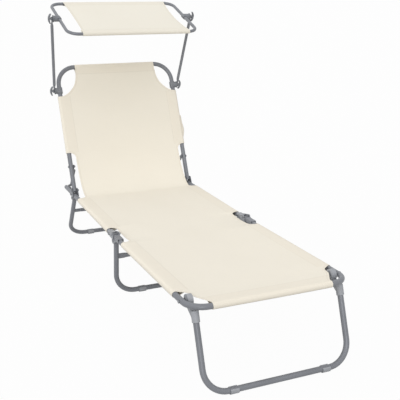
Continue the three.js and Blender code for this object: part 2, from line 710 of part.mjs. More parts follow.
// Foot section: a bent tube with hinge plates at its ends
const footAxis = -footPivotRise;
const footBend = 60;

function footTubeBody() {
  const start = -seatGap * 2;
  const path = bentPath([
    new THREE.Vector3(-railX, start, footAxis), new THREE.Vector3(-railX, -footLength, footAxis),
    new THREE.Vector3(railX, -footLength, footAxis), new THREE.Vector3(railX, start, footAxis),
  ], footBend);
  const across = [-railOutside - overrun, railOutside + overrun];
  return cut(
    tubeAlong(path, frameTube),
    rodX(pivotBolt.radius + turnGap, across, frontLegPivotInset - footLength, footAxis),
  );
}

function footHingeBody() {
  const { wall, noseRadius, length, nape, sideDrop, webFrom } = footHinge;
  const inner = railInside - seatGap - wall;
  const outer = railOutside + seatGap + wall;
  const roof = footAxis + frameTube.radius + seatGap;
  const outline = filleted([
    [-length, -sideDrop, wall], [-nape, -sideDrop, nape / 2], [noseRadius, -noseRadius, noseRadius],
    [noseRadius, noseRadius, noseRadius], [-noseRadius, noseRadius, noseRadius],
    [-nape - noseRadius, roof + wall, noseRadius], [-length, roof + wall, wall],
  ]);
  const body = extrudeX(outline, inner, outer, 2);
  const inside = [inner + wall, outer - wall];
  return cut(
    body,
    block(inside, [-length - overrun, noseRadius + overrun], [-sideDrop - overrun, roof]),
    block(inside, [-webFrom, noseRadius + overrun], [-sideDrop - overrun, noseRadius + overrun]),
    rodX(footBolt.radius + turnGap, [inner - overrun, outer + overrun]),
  );
}

const footCloth = {
  rearEdge: 4, scallopEnd: 65, sleeveStart: 95, sleeveShort: 119.5, elbowInset: 33, elbowBehindBar: 85,
  hemInset: 7, lead: 15,
};

function footClothBody() {
  const { rearEdge, scallopEnd, sleeveStart, elbowBehindBar, lead } = footCloth;
  const sleeveEnd = footLength - footCloth.sleeveShort;
  const elbowAcross = railX - footCloth.elbowInset;
  const frontHalf = railX - footBend - footCloth.hemInset;
  const free = freeHalf;
  const elbow = elbowBehindBar - footLength;
  const outline = symmetricShape([
    straightEdge([frontHalf, -footLength], [frontHalf, -footLength + lead / 2]),
    curvedEdge(
      [frontHalf, -footLength + lead / 2], [frontHalf + lead, elbow - lead * 3],
      [elbowAcross, elbow - lead * 2], [elbowAcross, elbow],
    ),
    curvedEdge(
      [elbowAcross, elbow], [elbowAcross, elbow + lead],
      [railX - lead / 2, -sleeveEnd - lead / 2], [railX, -sleeveEnd],
    ),
    straightEdge([railX, -sleeveEnd], [railX, -sleeveStart]),
    curvedEdge(
      [railX, -sleeveStart], [railX - lead, -sleeveStart], [free, -scallopEnd - lead], [free, -scallopEnd],
    ),
    straightEdge([free, -scallopEnd], [free, -rearEdge]),
  ], clothDivisions);
  const panel = extrudeZ(outline, footAxis + clothLow, footAxis + clothHigh);
  const tunnels = sides.map((side) =>
    tunnelAlongY(frameTube.radius, side * railX, [-sleeveEnd, -sleeveStart], footAxis));
  const frontTunnel = tunnelAlongX(frameTube.radius, [-frontHalf, frontHalf], -footLength, footAxis);
  return join(panel, ...tunnels, frontTunnel);
}

// Legs: bent tubes with rounded tops, a brace pressed flat at its ends and clips on the floor bar
function legTubeBody(leg, top, length, axisAlong, pivoted) {
  const path = bentPath([
    new THREE.Vector3(-leg.halfWidth, axisAlong, top), new THREE.Vector3(-leg.halfWidth, axisAlong, -length),
    new THREE.Vector3(leg.halfWidth, axisAlong, -length), new THREE.Vector3(leg.halfWidth, axisAlong, top),
  ], leg.bendRadius);
  const tubeBody = tubeAlong(path, frameTube);
  if (!pivoted) return tubeBody;
  const half = leg.halfWidth + frameTube.radius + overrun;
  const rounder = endRounder([-half, half], 0, 0, frameTube.radius + seatGap, 1).rotateX(Math.PI / 2);
  return cut(tubeBody, rodX(pivotBolt.radius + turnGap, [-half, half]), rounder);
}

function braceBody(leg) {
  const { flat, spread, flatLength, fade } = braceEnd;
  const reach = leg.halfWidth - seatGap;
  const start = reach - frameTube.radius / 2;
  const stations = [-start, -start + flatLength, -start + flatLength + fade / 2, -start + flatLength + fade];
  const otherEnd = [...stations].reverse().map((along) => -along);
  const path = bentPath([...stations, ...otherEnd].map((along) => new THREE.Vector3(0, along, 0)));
  const pressing = { middleX: 0, flat, spread };
  const bar = tubeAlong(path, braceTube);
  pressFlat(bar, braceTube, { ...pressing, flatEnd: stations[1], fadeEnd: stations[3] });
  pressFlat(bar, braceTube, { ...pressing, flatEnd: -stations[1], fadeEnd: -stations[3] });
  const upright = bar.applyMatrix4(new THREE.Matrix4().makeBasis(axisY.clone().negate(), axisX, axisZ));
  const reachDown = braceTube.radius * 3;
  const saddles = sides.map((side) =>
    rodZ(frameTube.radius + seatGap, [-reachDown, reachDown], side * leg.halfWidth, 0, frameTube.sides));
  return cut(upright, ...saddles).translate(0, 0, -leg.braceDown);
}

// Floor clip: an open plastic ring with a level sole
function clipBody(x) {
  const inner = frameTube.radius + seatGap;
  const outer = inner + clip.wall;
  const mouth = radians(clip.mouthAngle);
  const shape = new THREE.Shape();
  shape.absarc(0, 0, outer, Math.PI / 2 + mouth, Math.PI * 2.5 - mouth, false);
  shape.absarc(0, 0, inner, Math.PI * 2.5 - mouth, Math.PI / 2 + mouth, true);
  const half = clip.length / 2;
  const ring = extrudeX(shape, x - half, x + half, clip.sides);
  const belowSole = [-outer - overrun, -clip.soleDrop];
  return cut(ring, block([x - clip.length, x + clip.length], [-outer, outer], belowSole));
}

function addLeg(parent, name, leg, { along, rise, worldRise, turn, axisAlong, top, pivoted }) {
  const group = turnedGroup(parent, along, rise, turn);
  const cosRake = Math.cos(radians(leg.rake));
  const sinRake = Math.sin(radians(leg.rake));
  const length = (worldRise + axisAlong * sinRake - clip.soleDrop) / cosRake;
  place(group, `${name}_leg_tube`, legTubeBody(leg, top, length, axisAlong, pivoted), steelPaint);
  if (leg.braceDown) place(group, `${name}_leg_brace`, braceBody(leg), steelPaint);
  for (const side of sides) {
    const clipName = `${name}_leg_clip_${sideName(side)}`;
    const floorClip = place(group, clipName, clipBody(side * clipX), greyPlastic);
    floorClip.position.set(0, axisAlong, -length);
    floorClip.rotation.x = -radians(leg.rake);
  }
  return group;
}

// Front leg knuckle: a pivot lobe, a dog-leg neck and a socket for the leg tube
function knuckleBody() {
  const size = knuckle;
  const half = size.thickness / 2;
  const near = frontLeg.halfWidth - half;
  const far = frontLeg.halfWidth + half;
  const socketRadius = frameTube.radius + seatGap + size.socketWall;
  const axisAlong = -frontLeg.offset;
  const lobe = rodX(size.lobeRadius, [near, far], 0, 0, drumSides);
  const neckSide = axisAlong - socketRadius / 2;
  const neckLow = -size.socketEnd + socketRadius;
  const neck = extrudeX(filleted([
    [size.neckBack, -size.neckBackDrop, 0], [-size.neckFront, -size.neckFrontDrop, 0],
    [-size.throat, -size.throatDrop, size.neckBack], [neckSide, -size.throatDrop - size.neckBack, 0],
    [neckSide, neckLow, 0], [-size.throat, neckLow, 0],
  ]), near, far);
  const socketRun = [-size.socketEnd, -size.socketTop];
  const socket = rodZ(socketRadius, socketRun, frontLeg.halfWidth, axisAlong, drumSides);
  const boreRun = [-size.socketEnd - overrun, -frontLeg.tubeTop + seatGap];
  const bore = rodZ(frameTube.radius + seatGap, boreRun, frontLeg.halfWidth, axisAlong, drumSides);
  const recess = rodX(size.recessRadius, [near - overrun, near + size.recess], 0, 0, drumSides);
  const boltHole = rodX(pivotBolt.radius + turnGap, [near - overrun, far + overrun]);
  return cut(join(lobe, neck, socket), bore, recess, boltHole);
}

// Canopy: swinging arms, a bent loop, its cloth, the upper clamps and four wing knobs
function armBody() {
  const length = canopy.armLength;
  const flatEnd = armEnd.flatLength - armEnd.tip;
  const fadeEnd = flatEnd + armEnd.fade;
  const low = lowerArmX;
  const high = upperArmX;
  const path = bentPath([
    new THREE.Vector3(low, -armEnd.tip, 0), new THREE.Vector3(low, flatEnd, 0),
    new THREE.Vector3(low, (flatEnd + fadeEnd) / 2, 0), new THREE.Vector3(low, fadeEnd, 0),
    new THREE.Vector3(high, length - fadeEnd, 0), new THREE.Vector3(high, length - (flatEnd + fadeEnd) / 2, 0),
    new THREE.Vector3(high, length - flatEnd, 0), new THREE.Vector3(high, length + armEnd.tip, 0),
  ]);
  const bar = tubeAlong(path, armTube);
  const pressing = { flat: armEnd.flat, spread: armEnd.spread };
  pressFlat(bar, armTube, { ...pressing, middleX: low, flatEnd, fadeEnd });
  pressFlat(bar, armTube, { ...pressing, middleX: high, flatEnd: length - flatEnd, fadeEnd: length - fadeEnd });
  const across = [low - armTube.radius * 2, high + armTube.radius * 2];
  return cut(
    bar,
    rodX(knob.studRadius + turnGap, across),
    rodX(knob.studRadius + turnGap, across, length),
    endRounder(across, 0, 0, armEnd.tip, -1),
    endRounder(across, length, 0, armEnd.tip, 1),
  );
}

function canopyFrameBody() {
  const { halfDepth, bendRadius } = canopy;
  const path = bentPath([
    new THREE.Vector3(seatGap, halfDepth, 0), new THREE.Vector3(canopyHalf, halfDepth, 0),
    new THREE.Vector3(canopyHalf, -halfDepth, 0), new THREE.Vector3(-canopyHalf, -halfDepth, 0),
    new THREE.Vector3(-canopyHalf, halfDepth, 0), new THREE.Vector3(-seatGap, halfDepth, 0),
  ], bendRadius, bendSteps - 1);
  return tubeAlong(path, canopyTube);
}

function canopyClothBody() {
  const { halfDepth, bendRadius, waistInset } = canopy;
  const half = canopyHalf - bendRadius - seatGap;
  const waist = canopyHalf - waistInset;
  const lift = canopyTube.radius + cloth.lift;
  const outline = symmetricShape([
    curvedEdge([half, -halfDepth], [waist, -halfDepth / 2], [waist, halfDepth / 2], [half, halfDepth]),
  ], clothDivisions * 2);
  const panel = extrudeZ(outline, lift, lift + cloth.thickness);
  const tunnels = sides.map((side) => tunnelAlongX(canopyTube.radius, [-half, half], side * halfDepth, 0));
  return join(panel, ...tunnels);
}

// Wing knob: a crescent grip on a neck and hub, with the threaded stud that tightens the joint
function knobBody(face, studLength) {
  const tipAngle = (radius) => Math.asin(knob.halfLength / radius);
  const grip = new THREE.Shape();
  const outerTop = knob.reach + knob.thickness;
  const outerAngle = tipAngle(knob.outerRadius);
  const innerAngle = tipAngle(knob.innerRadius);
  grip.absarc(outerTop - knob.outerRadius, 0, knob.outerRadius, -outerAngle, outerAngle, false);
  grip.absarc(knob.reach - knob.innerRadius, 0, knob.innerRadius, innerAngle, -innerAngle, true);
  const bar = new THREE.ExtrudeGeometry(grip, {
    depth: knob.width - 2 * knob.bevel, curveSegments: 3, bevelThickness: knob.bevel, bevelSize: knob.bevel,
    bevelOffset: -knob.bevel, bevelSegments: 1,
  }).translate(0, 0, knob.bevel - knob.width / 2);
  return join(
    bar,
    rodX(knob.hubRadius, [0, knob.hub], 0, 0, drumSides),
    rodX(knob.neckRadius, [0, knob.reach + knob.bevel]),
    rodX(knob.studRadius, [-studLength, knob.hub]),
  ).translate(face, 0, 0);
}

// Seat section
place(seat, "seat_cloth", seatClothBody(), creamCloth);
for (const side of sides) {
  const name = sideName(side);
  place(seat, `seat_rail_${name}`, onSide(seatRail(), side), steelPaint);
  place(seat, `rear_bracket_${name}`, onSide(rearBracketBody(), side), greyPlastic);
  place(seat, `middle_bracket_${name}`, onSide(middleBracketBody(), side), greyPlastic);
  place(seat, `rack_plate_${name}`, onSide(rackPlate(), side), steelPaint);
  const rearOut = rearOuter + rearBracket.thickness;
  const rearIn = rearInner - rearBracket.thickness;
  const middleOut = middleOuter + middleBracket.thickness;
  const middleIn = middleInner - middleBracket.thickness;
  const legOutside = (leg) => leg.halfWidth + frameTube.radius;
  const fasteners = {
    backrest_bolt: boltX(pivotBolt, rearOut, rearIn, seatLength, backrestPivotRise,
      [rearInner + seatGap, backrestInside - seatGap]),
    rear_leg_bolt: boltX(pivotBolt, rearOut, rearIn, rearLegPivotAlong, -legPivotDrop,
      [legOutside(rearLeg) + seatGap, rearOuter - seatGap]),
    foot_bolt: boltX(footBolt, middleOut, middleIn, 0, footPivotRise,
      [middleInner + seatGap, railInside - footHinge.wall - 2 * seatGap]),
    middle_leg_bolt: boltX(pivotBolt, middleOut, middleIn, middleLegPivotAlong, -legPivotDrop,
      [legOutside(middleLeg) + seatGap, middleOuter - seatGap]),
    rear_rivet: boltX(rivet, rearOut, railInside - seatGap - rack.thickness, rearRivetAlong, 0, null, false),
    middle_rivet: boltX(rivet, middleOut, railInside, middleRivetAlong, 0, null, false),
  };
  for (const [fastener, geometry] of Object.entries(fasteners)) {
    place(seat, `${fastener}_${name}`, onSide(geometry, side), darkBolt);
  }
}

// Backrest, struts and canopy
place(backrest, "backrest_tube", backrestTubeBody(), steelPaint);
place(backrest, "backrest_cloth", backrestClothBody(), creamCloth);
place(backrest, "side_pocket", sidePocketBody(), creamCloth);
const jointAlong = backrestLength - canopy.jointBelowTop;
const struts = turnedGroup(backrest, strut.along, 0, strutAngle - backrestAngle);
const arms = turnedGroup(backrest, jointAlong, 0, canopy.armAngle - backrestAngle);
const shade = turnedGroup(arms, canopy.armLength, 0, canopy.tiltAngle - canopy.armAngle);
place(shade, "canopy_frame", canopyFrameBody(), steelPaint);
place(shade, "canopy_cloth", canopyClothBody(), creamCloth);
for (const side of sides) {
  const name = sideName(side);
  const lower = clampBody(lowerClamp, frameTube, backrestX, lowerFace).translate(0, jointAlong, 0);
  place(backrest, `canopy_clamp_lower_${name}`, onSide(lower, side), greyPlastic);
  const strutBolt = boltX(pivotBolt, backrestOutside, strutFlatX - strut.flat / 2, strut.along, 0);
  place(backrest, `strut_bolt_${name}`, onSide(strutBolt, side), darkBolt);
  place(struts, `strut_${name}`, onSide(strutBody(), side), steelPaint);
  place(arms, `canopy_arm_${name}`, onSide(armBody(), side), steelPaint);
  const upper = clampBody(upperClamp, canopyTube, canopyHalf, upperFace);
  place(shade, `canopy_clamp_upper_${name}`, onSide(upper, side), greyPlastic);
  const knobGap = armEnd.flat + 3 * seatGap;
  const lowerKnob = knobBody(lowerFace + knobGap, knobGap + lowerClamp.studDepth - fitGap);
  place(arms, `knob_lower_${name}`, onSide(lowerKnob, side), greyPlastic);
  const upperKnob = knobBody(upperFace + knobGap, knobGap + upperClamp.studDepth - fitGap);
  const upperPlaced = place(shade, `knob_upper_${name}`, onSide(upperKnob, side), greyPlastic);
  upperPlaced.rotation.x = radians(canopy.armAngle - canopy.tiltAngle);
}

// Legs
addLeg(seat, "rear", rearLeg, {
  along: rearLegPivotAlong, rise: -legPivotDrop, worldRise: railHeight - legPivotDrop, turn: rearLeg.rake,
  axisAlong: 0, top: frameTube.radius + seatGap, pivoted: true,
});
addLeg(seat, "middle", middleLeg, {
  along: middleLegPivotAlong, rise: -legPivotDrop, worldRise: railHeight - legPivotDrop, turn: middleLeg.rake,
  axisAlong: 0, top: frameTube.radius + seatGap, pivoted: true,
});

// Foot section and front leg
place(foot, "foot_tube", footTubeBody(), steelPaint);
place(foot, "foot_cloth", footClothBody(), creamCloth);
const frontPivotAlong = frontLegPivotInset - footLength;
const frontPivotHeight = railHeight + footPivotRise + footAxis * Math.cos(radians(footTilt))
  - frontPivotAlong * Math.sin(radians(footTilt));
const frontLegGroup = addLeg(foot, "front", frontLeg, {
  along: frontPivotAlong, rise: footAxis, worldRise: frontPivotHeight, turn: frontLeg.rake + footTilt,
  axisAlong: -frontLeg.offset, top: -frontLeg.tubeTop, pivoted: false,
});
for (const side of sides) {
  const name = sideName(side);
  place(foot, `foot_hinge_${name}`, onSide(footHingeBody(), side), steelPaint);
  const knuckleNear = frontLeg.halfWidth - knuckle.thickness / 2 + knuckle.recess;
  const knuckleFar = frontLeg.halfWidth + knuckle.thickness / 2;
  const throughBolt = boltX(pivotBolt, railOutside, knuckleNear, frontPivotAlong, footAxis,
    [knuckleFar + seatGap, railInside - seatGap]);
  place(foot, `front_leg_bolt_${name}`, onSide(throughBolt, side), darkBolt);
  place(frontLegGroup, `front_leg_knuckle_${name}`, onSide(knuckleBody(), side), greyPlastic);
}

// The lounger stands on the floor, centred on its own footprint
lounger.updateMatrixWorld(true);
const extent = new THREE.Box3().setFromObject(lounger, true);
lounger.position.set(0, -(extent.min.y + extent.max.y) / 2, 0);

export default lounger;
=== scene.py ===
# Folding sun lounger with canopy: woven covers, painted tube, moulded fittings and a plain studio
import bpy
import bmesh
import json
from bmesh.types import BMEdge, BMVert
from math import acos, atan2, cos, exp, pi, radians, sin, sqrt, tan
from mathutils import Matrix, Vector, noise


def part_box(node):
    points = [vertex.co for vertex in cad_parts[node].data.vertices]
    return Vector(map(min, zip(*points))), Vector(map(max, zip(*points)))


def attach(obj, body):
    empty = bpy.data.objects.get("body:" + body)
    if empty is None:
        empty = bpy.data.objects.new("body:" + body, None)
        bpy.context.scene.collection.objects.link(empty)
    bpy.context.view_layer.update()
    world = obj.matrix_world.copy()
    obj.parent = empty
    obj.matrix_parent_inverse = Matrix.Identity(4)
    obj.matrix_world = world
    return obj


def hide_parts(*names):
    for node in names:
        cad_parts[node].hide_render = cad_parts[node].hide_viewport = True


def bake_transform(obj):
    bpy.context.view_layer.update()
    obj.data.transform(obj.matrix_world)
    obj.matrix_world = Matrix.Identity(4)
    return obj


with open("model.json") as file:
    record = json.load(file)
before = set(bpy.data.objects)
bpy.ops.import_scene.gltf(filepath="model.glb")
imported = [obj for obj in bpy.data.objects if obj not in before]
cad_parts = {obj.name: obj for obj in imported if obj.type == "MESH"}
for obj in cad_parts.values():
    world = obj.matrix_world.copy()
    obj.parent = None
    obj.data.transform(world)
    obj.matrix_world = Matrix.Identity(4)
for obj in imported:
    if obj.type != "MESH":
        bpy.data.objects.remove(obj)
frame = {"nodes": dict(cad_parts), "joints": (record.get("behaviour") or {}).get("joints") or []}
nodes = frame["nodes"]
joints = {joint["name"]: joint["pos_m"] for joint in frame["joints"]}
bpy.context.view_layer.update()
sidePairs = (("left", -1), ("right", 1))
print("frame loaded:", len(nodes), "nodes")

# camera: fitted to the photograph's pivots and tube ends
view = {
    "place": (-1.0224, -2.4798, 1.1662), "azimuth": -23.954, "elevation": 17.853, "roll": 0.42,
    "lens": 66.06, "sensor": 36.0, "shiftX": 0.0017, "shiftY": 0.032,
}


def addObject(name, data):
    item = bpy.data.objects.new(name, data)
    bpy.context.scene.collection.objects.link(item)
    return item


def makeCamera():
    azimuth, elevation, roll = (radians(view[key]) for key in ("azimuth", "elevation", "roll"))
    level = cos(elevation)
    back = Vector((sin(azimuth) * level, -cos(azimuth) * level, sin(elevation)))
    right = (-back).cross(Vector((0, 0, 1))).normalized()
    turn = Matrix((right, back.cross(right), back)).transposed().to_4x4()
    data = bpy.data.cameras.new("viewCamera")
    data.lens, data.sensor_width = view["lens"], view["sensor"]
    data.shift_x, data.shift_y = view["shiftX"], view["shiftY"]
    camera = addObject("viewCamera", data)
    camera.matrix_world = Matrix.Translation(view["place"]) @ turn @ Matrix.Rotation(roll, 4, "Z")
    bpy.context.scene.camera = camera


makeCamera()

# where each section of the frame stands, as a matrix from its own flat layout to the room
layout = {
    "seatLength": 0.594, "railHeight": 0.249, "railX": 0.270, "backX": 0.2683, "backLength": 0.554,
    "footLength": 0.7035, "footAxis": -0.0123, "backAngle": 65.7, "footTilt": -1.15, "shadeTilt": 18.7,
    "armAngle": 109.5, "strutAngle": -51.87, "rearRake": 32.7, "middleRake": 4.4, "frontRake": -19.96,
}
railX, backX, backLength = layout["railX"], layout["backX"], layout["backLength"]
footAxis, footLength = layout["footAxis"], layout["footLength"]


def sectionAt(jointName, angle):
    return Matrix.Translation(joints[jointName]) @ Matrix.Rotation(radians(layout[angle]), 4, "X")


seatShift = joints["backrest_recline"][1] - layout["seatLength"]
seatPlace = Matrix.Translation((0, seatShift, layout["railHeight"]))
backPlace = sectionAt("backrest_recline", "backAngle")
footPlace = sectionAt("foot_section_fold", "footTilt")
armPlace = sectionAt("canopy_arm_swing", "armAngle")
shadePlace = sectionAt("canopy_tilt", "shadeTilt")
strutPlace = sectionAt("strut_left_swing", "strutAngle")


# shader helpers
def feed(tree, node, given):
    # values or links, by socket name or in the order of the sockets
    for key, value in given.items() if isinstance(given, dict) else enumerate(given):
        if hasattr(value, "is_output"):
            tree.links.new(value, node.inputs[key])
        else:
            node.inputs[key].default_value = value


def addNode(tree, kind, given=(), **settings):
    node = tree.nodes.new("ShaderNode" + kind)
    for key, value in settings.items():
        setattr(node, key, value)
    feed(tree, node, given)
    return node


def mathNode(tree, operation, *values):
    return addNode(tree, "Math", values, operation=operation).outputs[0]


def product(tree, first, second):
    return mathNode(tree, "MULTIPLY", first, second)


def largest(tree, *values):
    top = values[0]
    for value in values[1:]:
        top = mathNode(tree, "MAXIMUM", top, value)
    return top


def rampNode(tree, value, low, high, toLow=0.0, toHigh=1.0):
    given = (value, low, high, toLow, toHigh)
    return addNode(tree, "MapRange", given, interpolation_type="SMOOTHSTEP").outputs[0]


def mixColour(tree, factor, first, second, blend="MIX"):
    given = {0: factor, 6: first, 7: second}
    return addNode(tree, "Mix", given, data_type="RGBA", blend_type=blend).outputs[2]


def noiseNode(tree, vector, scale, detail=1.0, roughness=0.5):
    given = {"Vector": vector, "Scale": scale, "Detail": detail, "Roughness": roughness}
    return addNode(tree, "TexNoise", given).outputs["Fac"]


def stretched(tree, vector, scale):
    return addNode(tree, "Mapping", {"Vector": vector, "Scale": scale}).outputs["Vector"]


def newGroup(name, inputs, outputs):
    # an input without a default is a vector
    tree = bpy.data.node_groups.new(name, "ShaderNodeTree")
    for label, value in inputs.items():
        kind = "NodeSocketVector" if value is None else "NodeSocketFloat"
        socket = tree.interface.new_socket(name=label, in_out="INPUT", socket_type=kind)
        if value is not None:
            socket.default_value = value
    for label in outputs:
        tree.interface.new_socket(name=label, in_out="OUTPUT", socket_type="NodeSocketFloat")
    return tree, tree.nodes.new("NodeGroupInput"), tree.nodes.new("NodeGroupOutput")


def weaveGroup():
    # plain weave: warp over weft in a chequer, threads rounded across
    tree, given, made = newGroup("plainWeave", {"Vector": None, "Pitch": 0.0011}, ("Height",))
    perThread = mathNode(tree, "DIVIDE", 1.0, given.outputs["Pitch"])
    scaling = {0: given.outputs["Vector"], "Scale": perThread}
    scaled = addNode(tree, "VectorMath", scaling, operation="SCALE").outputs[0]
    over = addNode(tree, "TexChecker", {"Vector": scaled, "Scale": 1.0}).outputs["Fac"]
    under = mathNode(tree, "SUBTRACT", 1.0, over)
    threads = []
    for part, shown in zip(addNode(tree, "SeparateXYZ", (scaled,)).outputs, (over, under)):
        ridge = mathNode(tree, "ABSOLUTE", mathNode(tree, "SINE", product(tree, part, pi)))
        threads.append(product(tree, ridge, mathNode(tree, "MULTIPLY_ADD", shown, 0.7, 0.3)))
    feed(tree, made, {"Height": largest(tree, *threads)})
    return tree


def stitchGroup():
    # one row of lockstitch: thread dashes in a shallow groove
    tree, given, made = newGroup("stitchRow", {"Gap": 1.0, "Run": 0.0, "Pitch": 0.0042, "Width": 0.0006},
                                 ("Thread", "Groove"))
    gap, run, pitch, width = given.outputs[:4]
    shares = mathNode(tree, "DIVIDE", mathNode(tree, "ABSOLUTE", gap), width)
    line = rampNode(tree, shares, 0.7, 1.3, 1.0, 0.0)
    step = mathNode(tree, "FRACT", mathNode(tree, "DIVIDE", run, pitch))
    away = mathNode(tree, "ABSOLUTE", mathNode(tree, "SUBTRACT", step, 0.5))
    dash = rampNode(tree, away, 0.32, 0.4, 1.0, 0.0)
    feed(tree, made, (product(tree, line, dash), rampNode(tree, shares, 0.0, 4.5, 1.0, 0.0)))
    return tree


def mottleGroup():
    # soft uneven tone, with fine specks
    tree, given, made = newGroup("mottle", {"Vector": None, "Coarse": 6.0, "Fine": 160.0},
                                 ("Tone", "Speck"))
    place, coarse, fine = given.outputs[:3]
    feed(tree, made, (noiseNode(tree, place, coarse, 3.0), noiseNode(tree, place, fine, 1.0)))
    return tree


weave, stitches, mottle = weaveGroup(), stitchGroup(), mottleGroup()


def useGroup(tree, group, **values):
    return addNode(tree, "Group", values, node_tree=group).outputs


def newMaterial(name):
    material = bpy.data.materials.new(name)
    material.use_nodes = True
    tree = material.node_tree
    return material, tree, tree.nodes["Principled BSDF"]


def bumpInto(tree, shader, height, strength, distance):
    bump = addNode(tree, "Bump", {"Strength": strength, "Distance": distance, "Height": height})
    feed(tree, shader, {"Normal": bump.outputs["Normal"]})


# each cloth vertex carries its distance to the side, end and edge seams, and its run along the edge
gapNames = ("sideGap", "endGap", "edgeGap", "edgeRun")
clothLook = {
    # the canopy's base is the seat's cloth made a little darker and whiter: painted shade for the light on
    # the canopy
    "base": (0.862, 0.812, 0.706, 1), "canopyShadedBase": (0.822, 0.787, 0.694, 1),
    # the doubled band's colour is painted shade: two layers let less light through than one
    "deep": (0.81, 0.755, 0.645, 1), "thread": (0.72, 0.67, 0.57, 1), "doubledHemShade": (0.984, 0.976, 0.968, 1),
    "rough": (0.83, 0.92),
    "pitch": 0.0011, "coarse": 5.0, "fine": 420.0, "slubs": (900, 45, 1), "sheen": 0.12, "specular": 0.3,
    "edgeSeam": 0.007, "seamEase": (-0.0008, 0.0012), "edgeEase": (0.0075, 0.0095),
    # the groove share is painted shade darkening the stitch grooves
    "cloudShows": 0.16, "slubShows": 0.12, "gapShows": 0.14, "grooveShadeShows": 0.22, "threadShows": 0.6,
    "weaveRise": 0.16, "slubRise": 0.25, "doubleRise": 0.7, "grooveRise": -0.8, "threadRise": 0.5,
    "bump": 0.55, "relief": 0.0006,
}


def clothMaterial(name, base):
    look = clothLook
    material, tree, shader = newMaterial(name)
    flat = addNode(tree, "UVMap", uv_map="flatCut").outputs[0]
    across, along = addNode(tree, "SeparateXYZ", (flat,)).outputs[:2]
    side, end, edge, run = [addNode(tree, "Attribute", attribute_name=key).outputs["Fac"]
                            for key in gapNames]
    woven = useGroup(tree, weave, Vector=flat, Pitch=look["pitch"])["Height"]
    tone = useGroup(tree, mottle, Vector=flat, Coarse=look["coarse"], Fine=look["fine"])
    edgeRow = mathNode(tree, "SUBTRACT", edge, look["edgeSeam"])
    rows = [useGroup(tree, stitches, Gap=gap, Run=way)
            for gap, way in ((side, along), (end, across), (edgeRow, run))]
    thread = largest(tree, *[row["Thread"] for row in rows])
    groove = largest(tree, *[row["Groove"] for row in rows])
    # doubled: where the cloth lies in two layers; it darkens the colour as painted shade and also raises the
    # bump
    doubled = largest(tree, rampNode(tree, side, *look["seamEase"]), rampNode(tree, end, *look["seamEase"]),
                      rampNode(tree, edge, *look["edgeEase"], 1.0, 0.0))
    wide, narrow, deep = look["slubs"]
    slubs = [noiseNode(tree, stretched(tree, flat, (*scale, deep)), 1.0)
             for scale in ((wide, narrow), (narrow, wide))]
    streak = product(tree, mathNode(tree, "ADD", *slubs), 0.5)
    colour = base
    for factor, tint, blend in (
        (rampNode(tree, tone["Tone"], 0.35, 0.75, 0.0, look["cloudShows"]), look["deep"], "MIX"),
        (rampNode(tree, streak, 0.4, 0.62, look["slubShows"], 0.0), look["deep"], "MIX"),
        (rampNode(tree, woven, 0.1, 0.8, look["gapShows"], 0.0), look["deep"], "MIX"),
        # painted shade: the doubled band is multiplied darker
        (doubled, look["doubledHemShade"], "MULTIPLY"),
        # painted shade: the shallow groove beside each stitch row is tinted toward the thread colour
        (product(tree, groove, look["grooveShadeShows"]), look["thread"], "MIX"),
        (product(tree, thread, look["threadShows"]), look["thread"], "MIX"),
    ):
        colour = mixColour(tree, factor, colour, tint, blend)
    feed(tree, shader, {
        "Base Color": colour, "Roughness": rampNode(tree, tone["Speck"], 0.3, 0.7, *look["rough"]),
        "Sheen Weight": look["sheen"], "Specular IOR Level": look["specular"],
    })
    height = 0.0
    for value, rise in ((woven, "weaveRise"), (streak, "slubRise"), (doubled, "doubleRise"),
                        (groove, "grooveRise"), (thread, "threadRise")):
        height = mathNode(tree, "MULTIPLY_ADD", value, look[rise], height)
    bumpInto(tree, shader, height, look["bump"], look["relief"])
    return material


# powder coat and moulded plastic: fine peel and faint scuffs
paintGrain = {
    "scuffs": (40, 260, 260), "scuffDetail": 4.0, "scuffRough": 0.65, "specular": 0.25, "relief": 0.0002,
}
paintLooks = {
    "tubePaint": {
        "base": (0.225, 0.234, 0.256, 1), "deep": (0.205, 0.213, 0.234, 1), "rubbed": (0.33, 0.34, 0.36, 1),
        "wear": 0.35, "roughness": 0.34, "metallic": 0.12, "coarse": 9.0, "fine": 900.0, "peel": 0.2,
    },
    "bracketPaint": {
        "base": (0.335, 0.348, 0.37, 1), "deep": (0.3, 0.312, 0.335, 1), "rubbed": (0.43, 0.44, 0.46, 1),
        "wear": 0.4, "roughness": 0.4, "metallic": 0.1, "coarse": 14.0, "fine": 900.0, "peel": 0.25,
    },
    "mouldedPlastic": {
        "base": (0.37, 0.382, 0.405, 1), "deep": (0.335, 0.347, 0.37, 1), "rubbed": (0.47, 0.48, 0.5, 1),
        "wear": 0.25, "roughness": 0.5, "metallic": 0.0, "coarse": 25.0, "fine": 1400.0, "peel": 0.35,
    },
    "knobPlastic": {
        "base": (0.235, 0.245, 0.265, 1), "deep": (0.21, 0.219, 0.238, 1), "rubbed": (0.34, 0.35, 0.37, 1),
        "wear": 0.25, "roughness": 0.46, "metallic": 0.0, "coarse": 25.0, "fine": 1400.0, "peel": 0.35,
    },
    "zincPlate": {
        "base": (0.30, 0.31, 0.33, 1), "deep": (0.25, 0.26, 0.28, 1), "rubbed": (0.5, 0.5, 0.52, 1),
        "wear": 0.4, "roughness": 0.4, "metallic": 0.6, "coarse": 120.0, "fine": 1500.0, "peel": 0.15,
    },
}


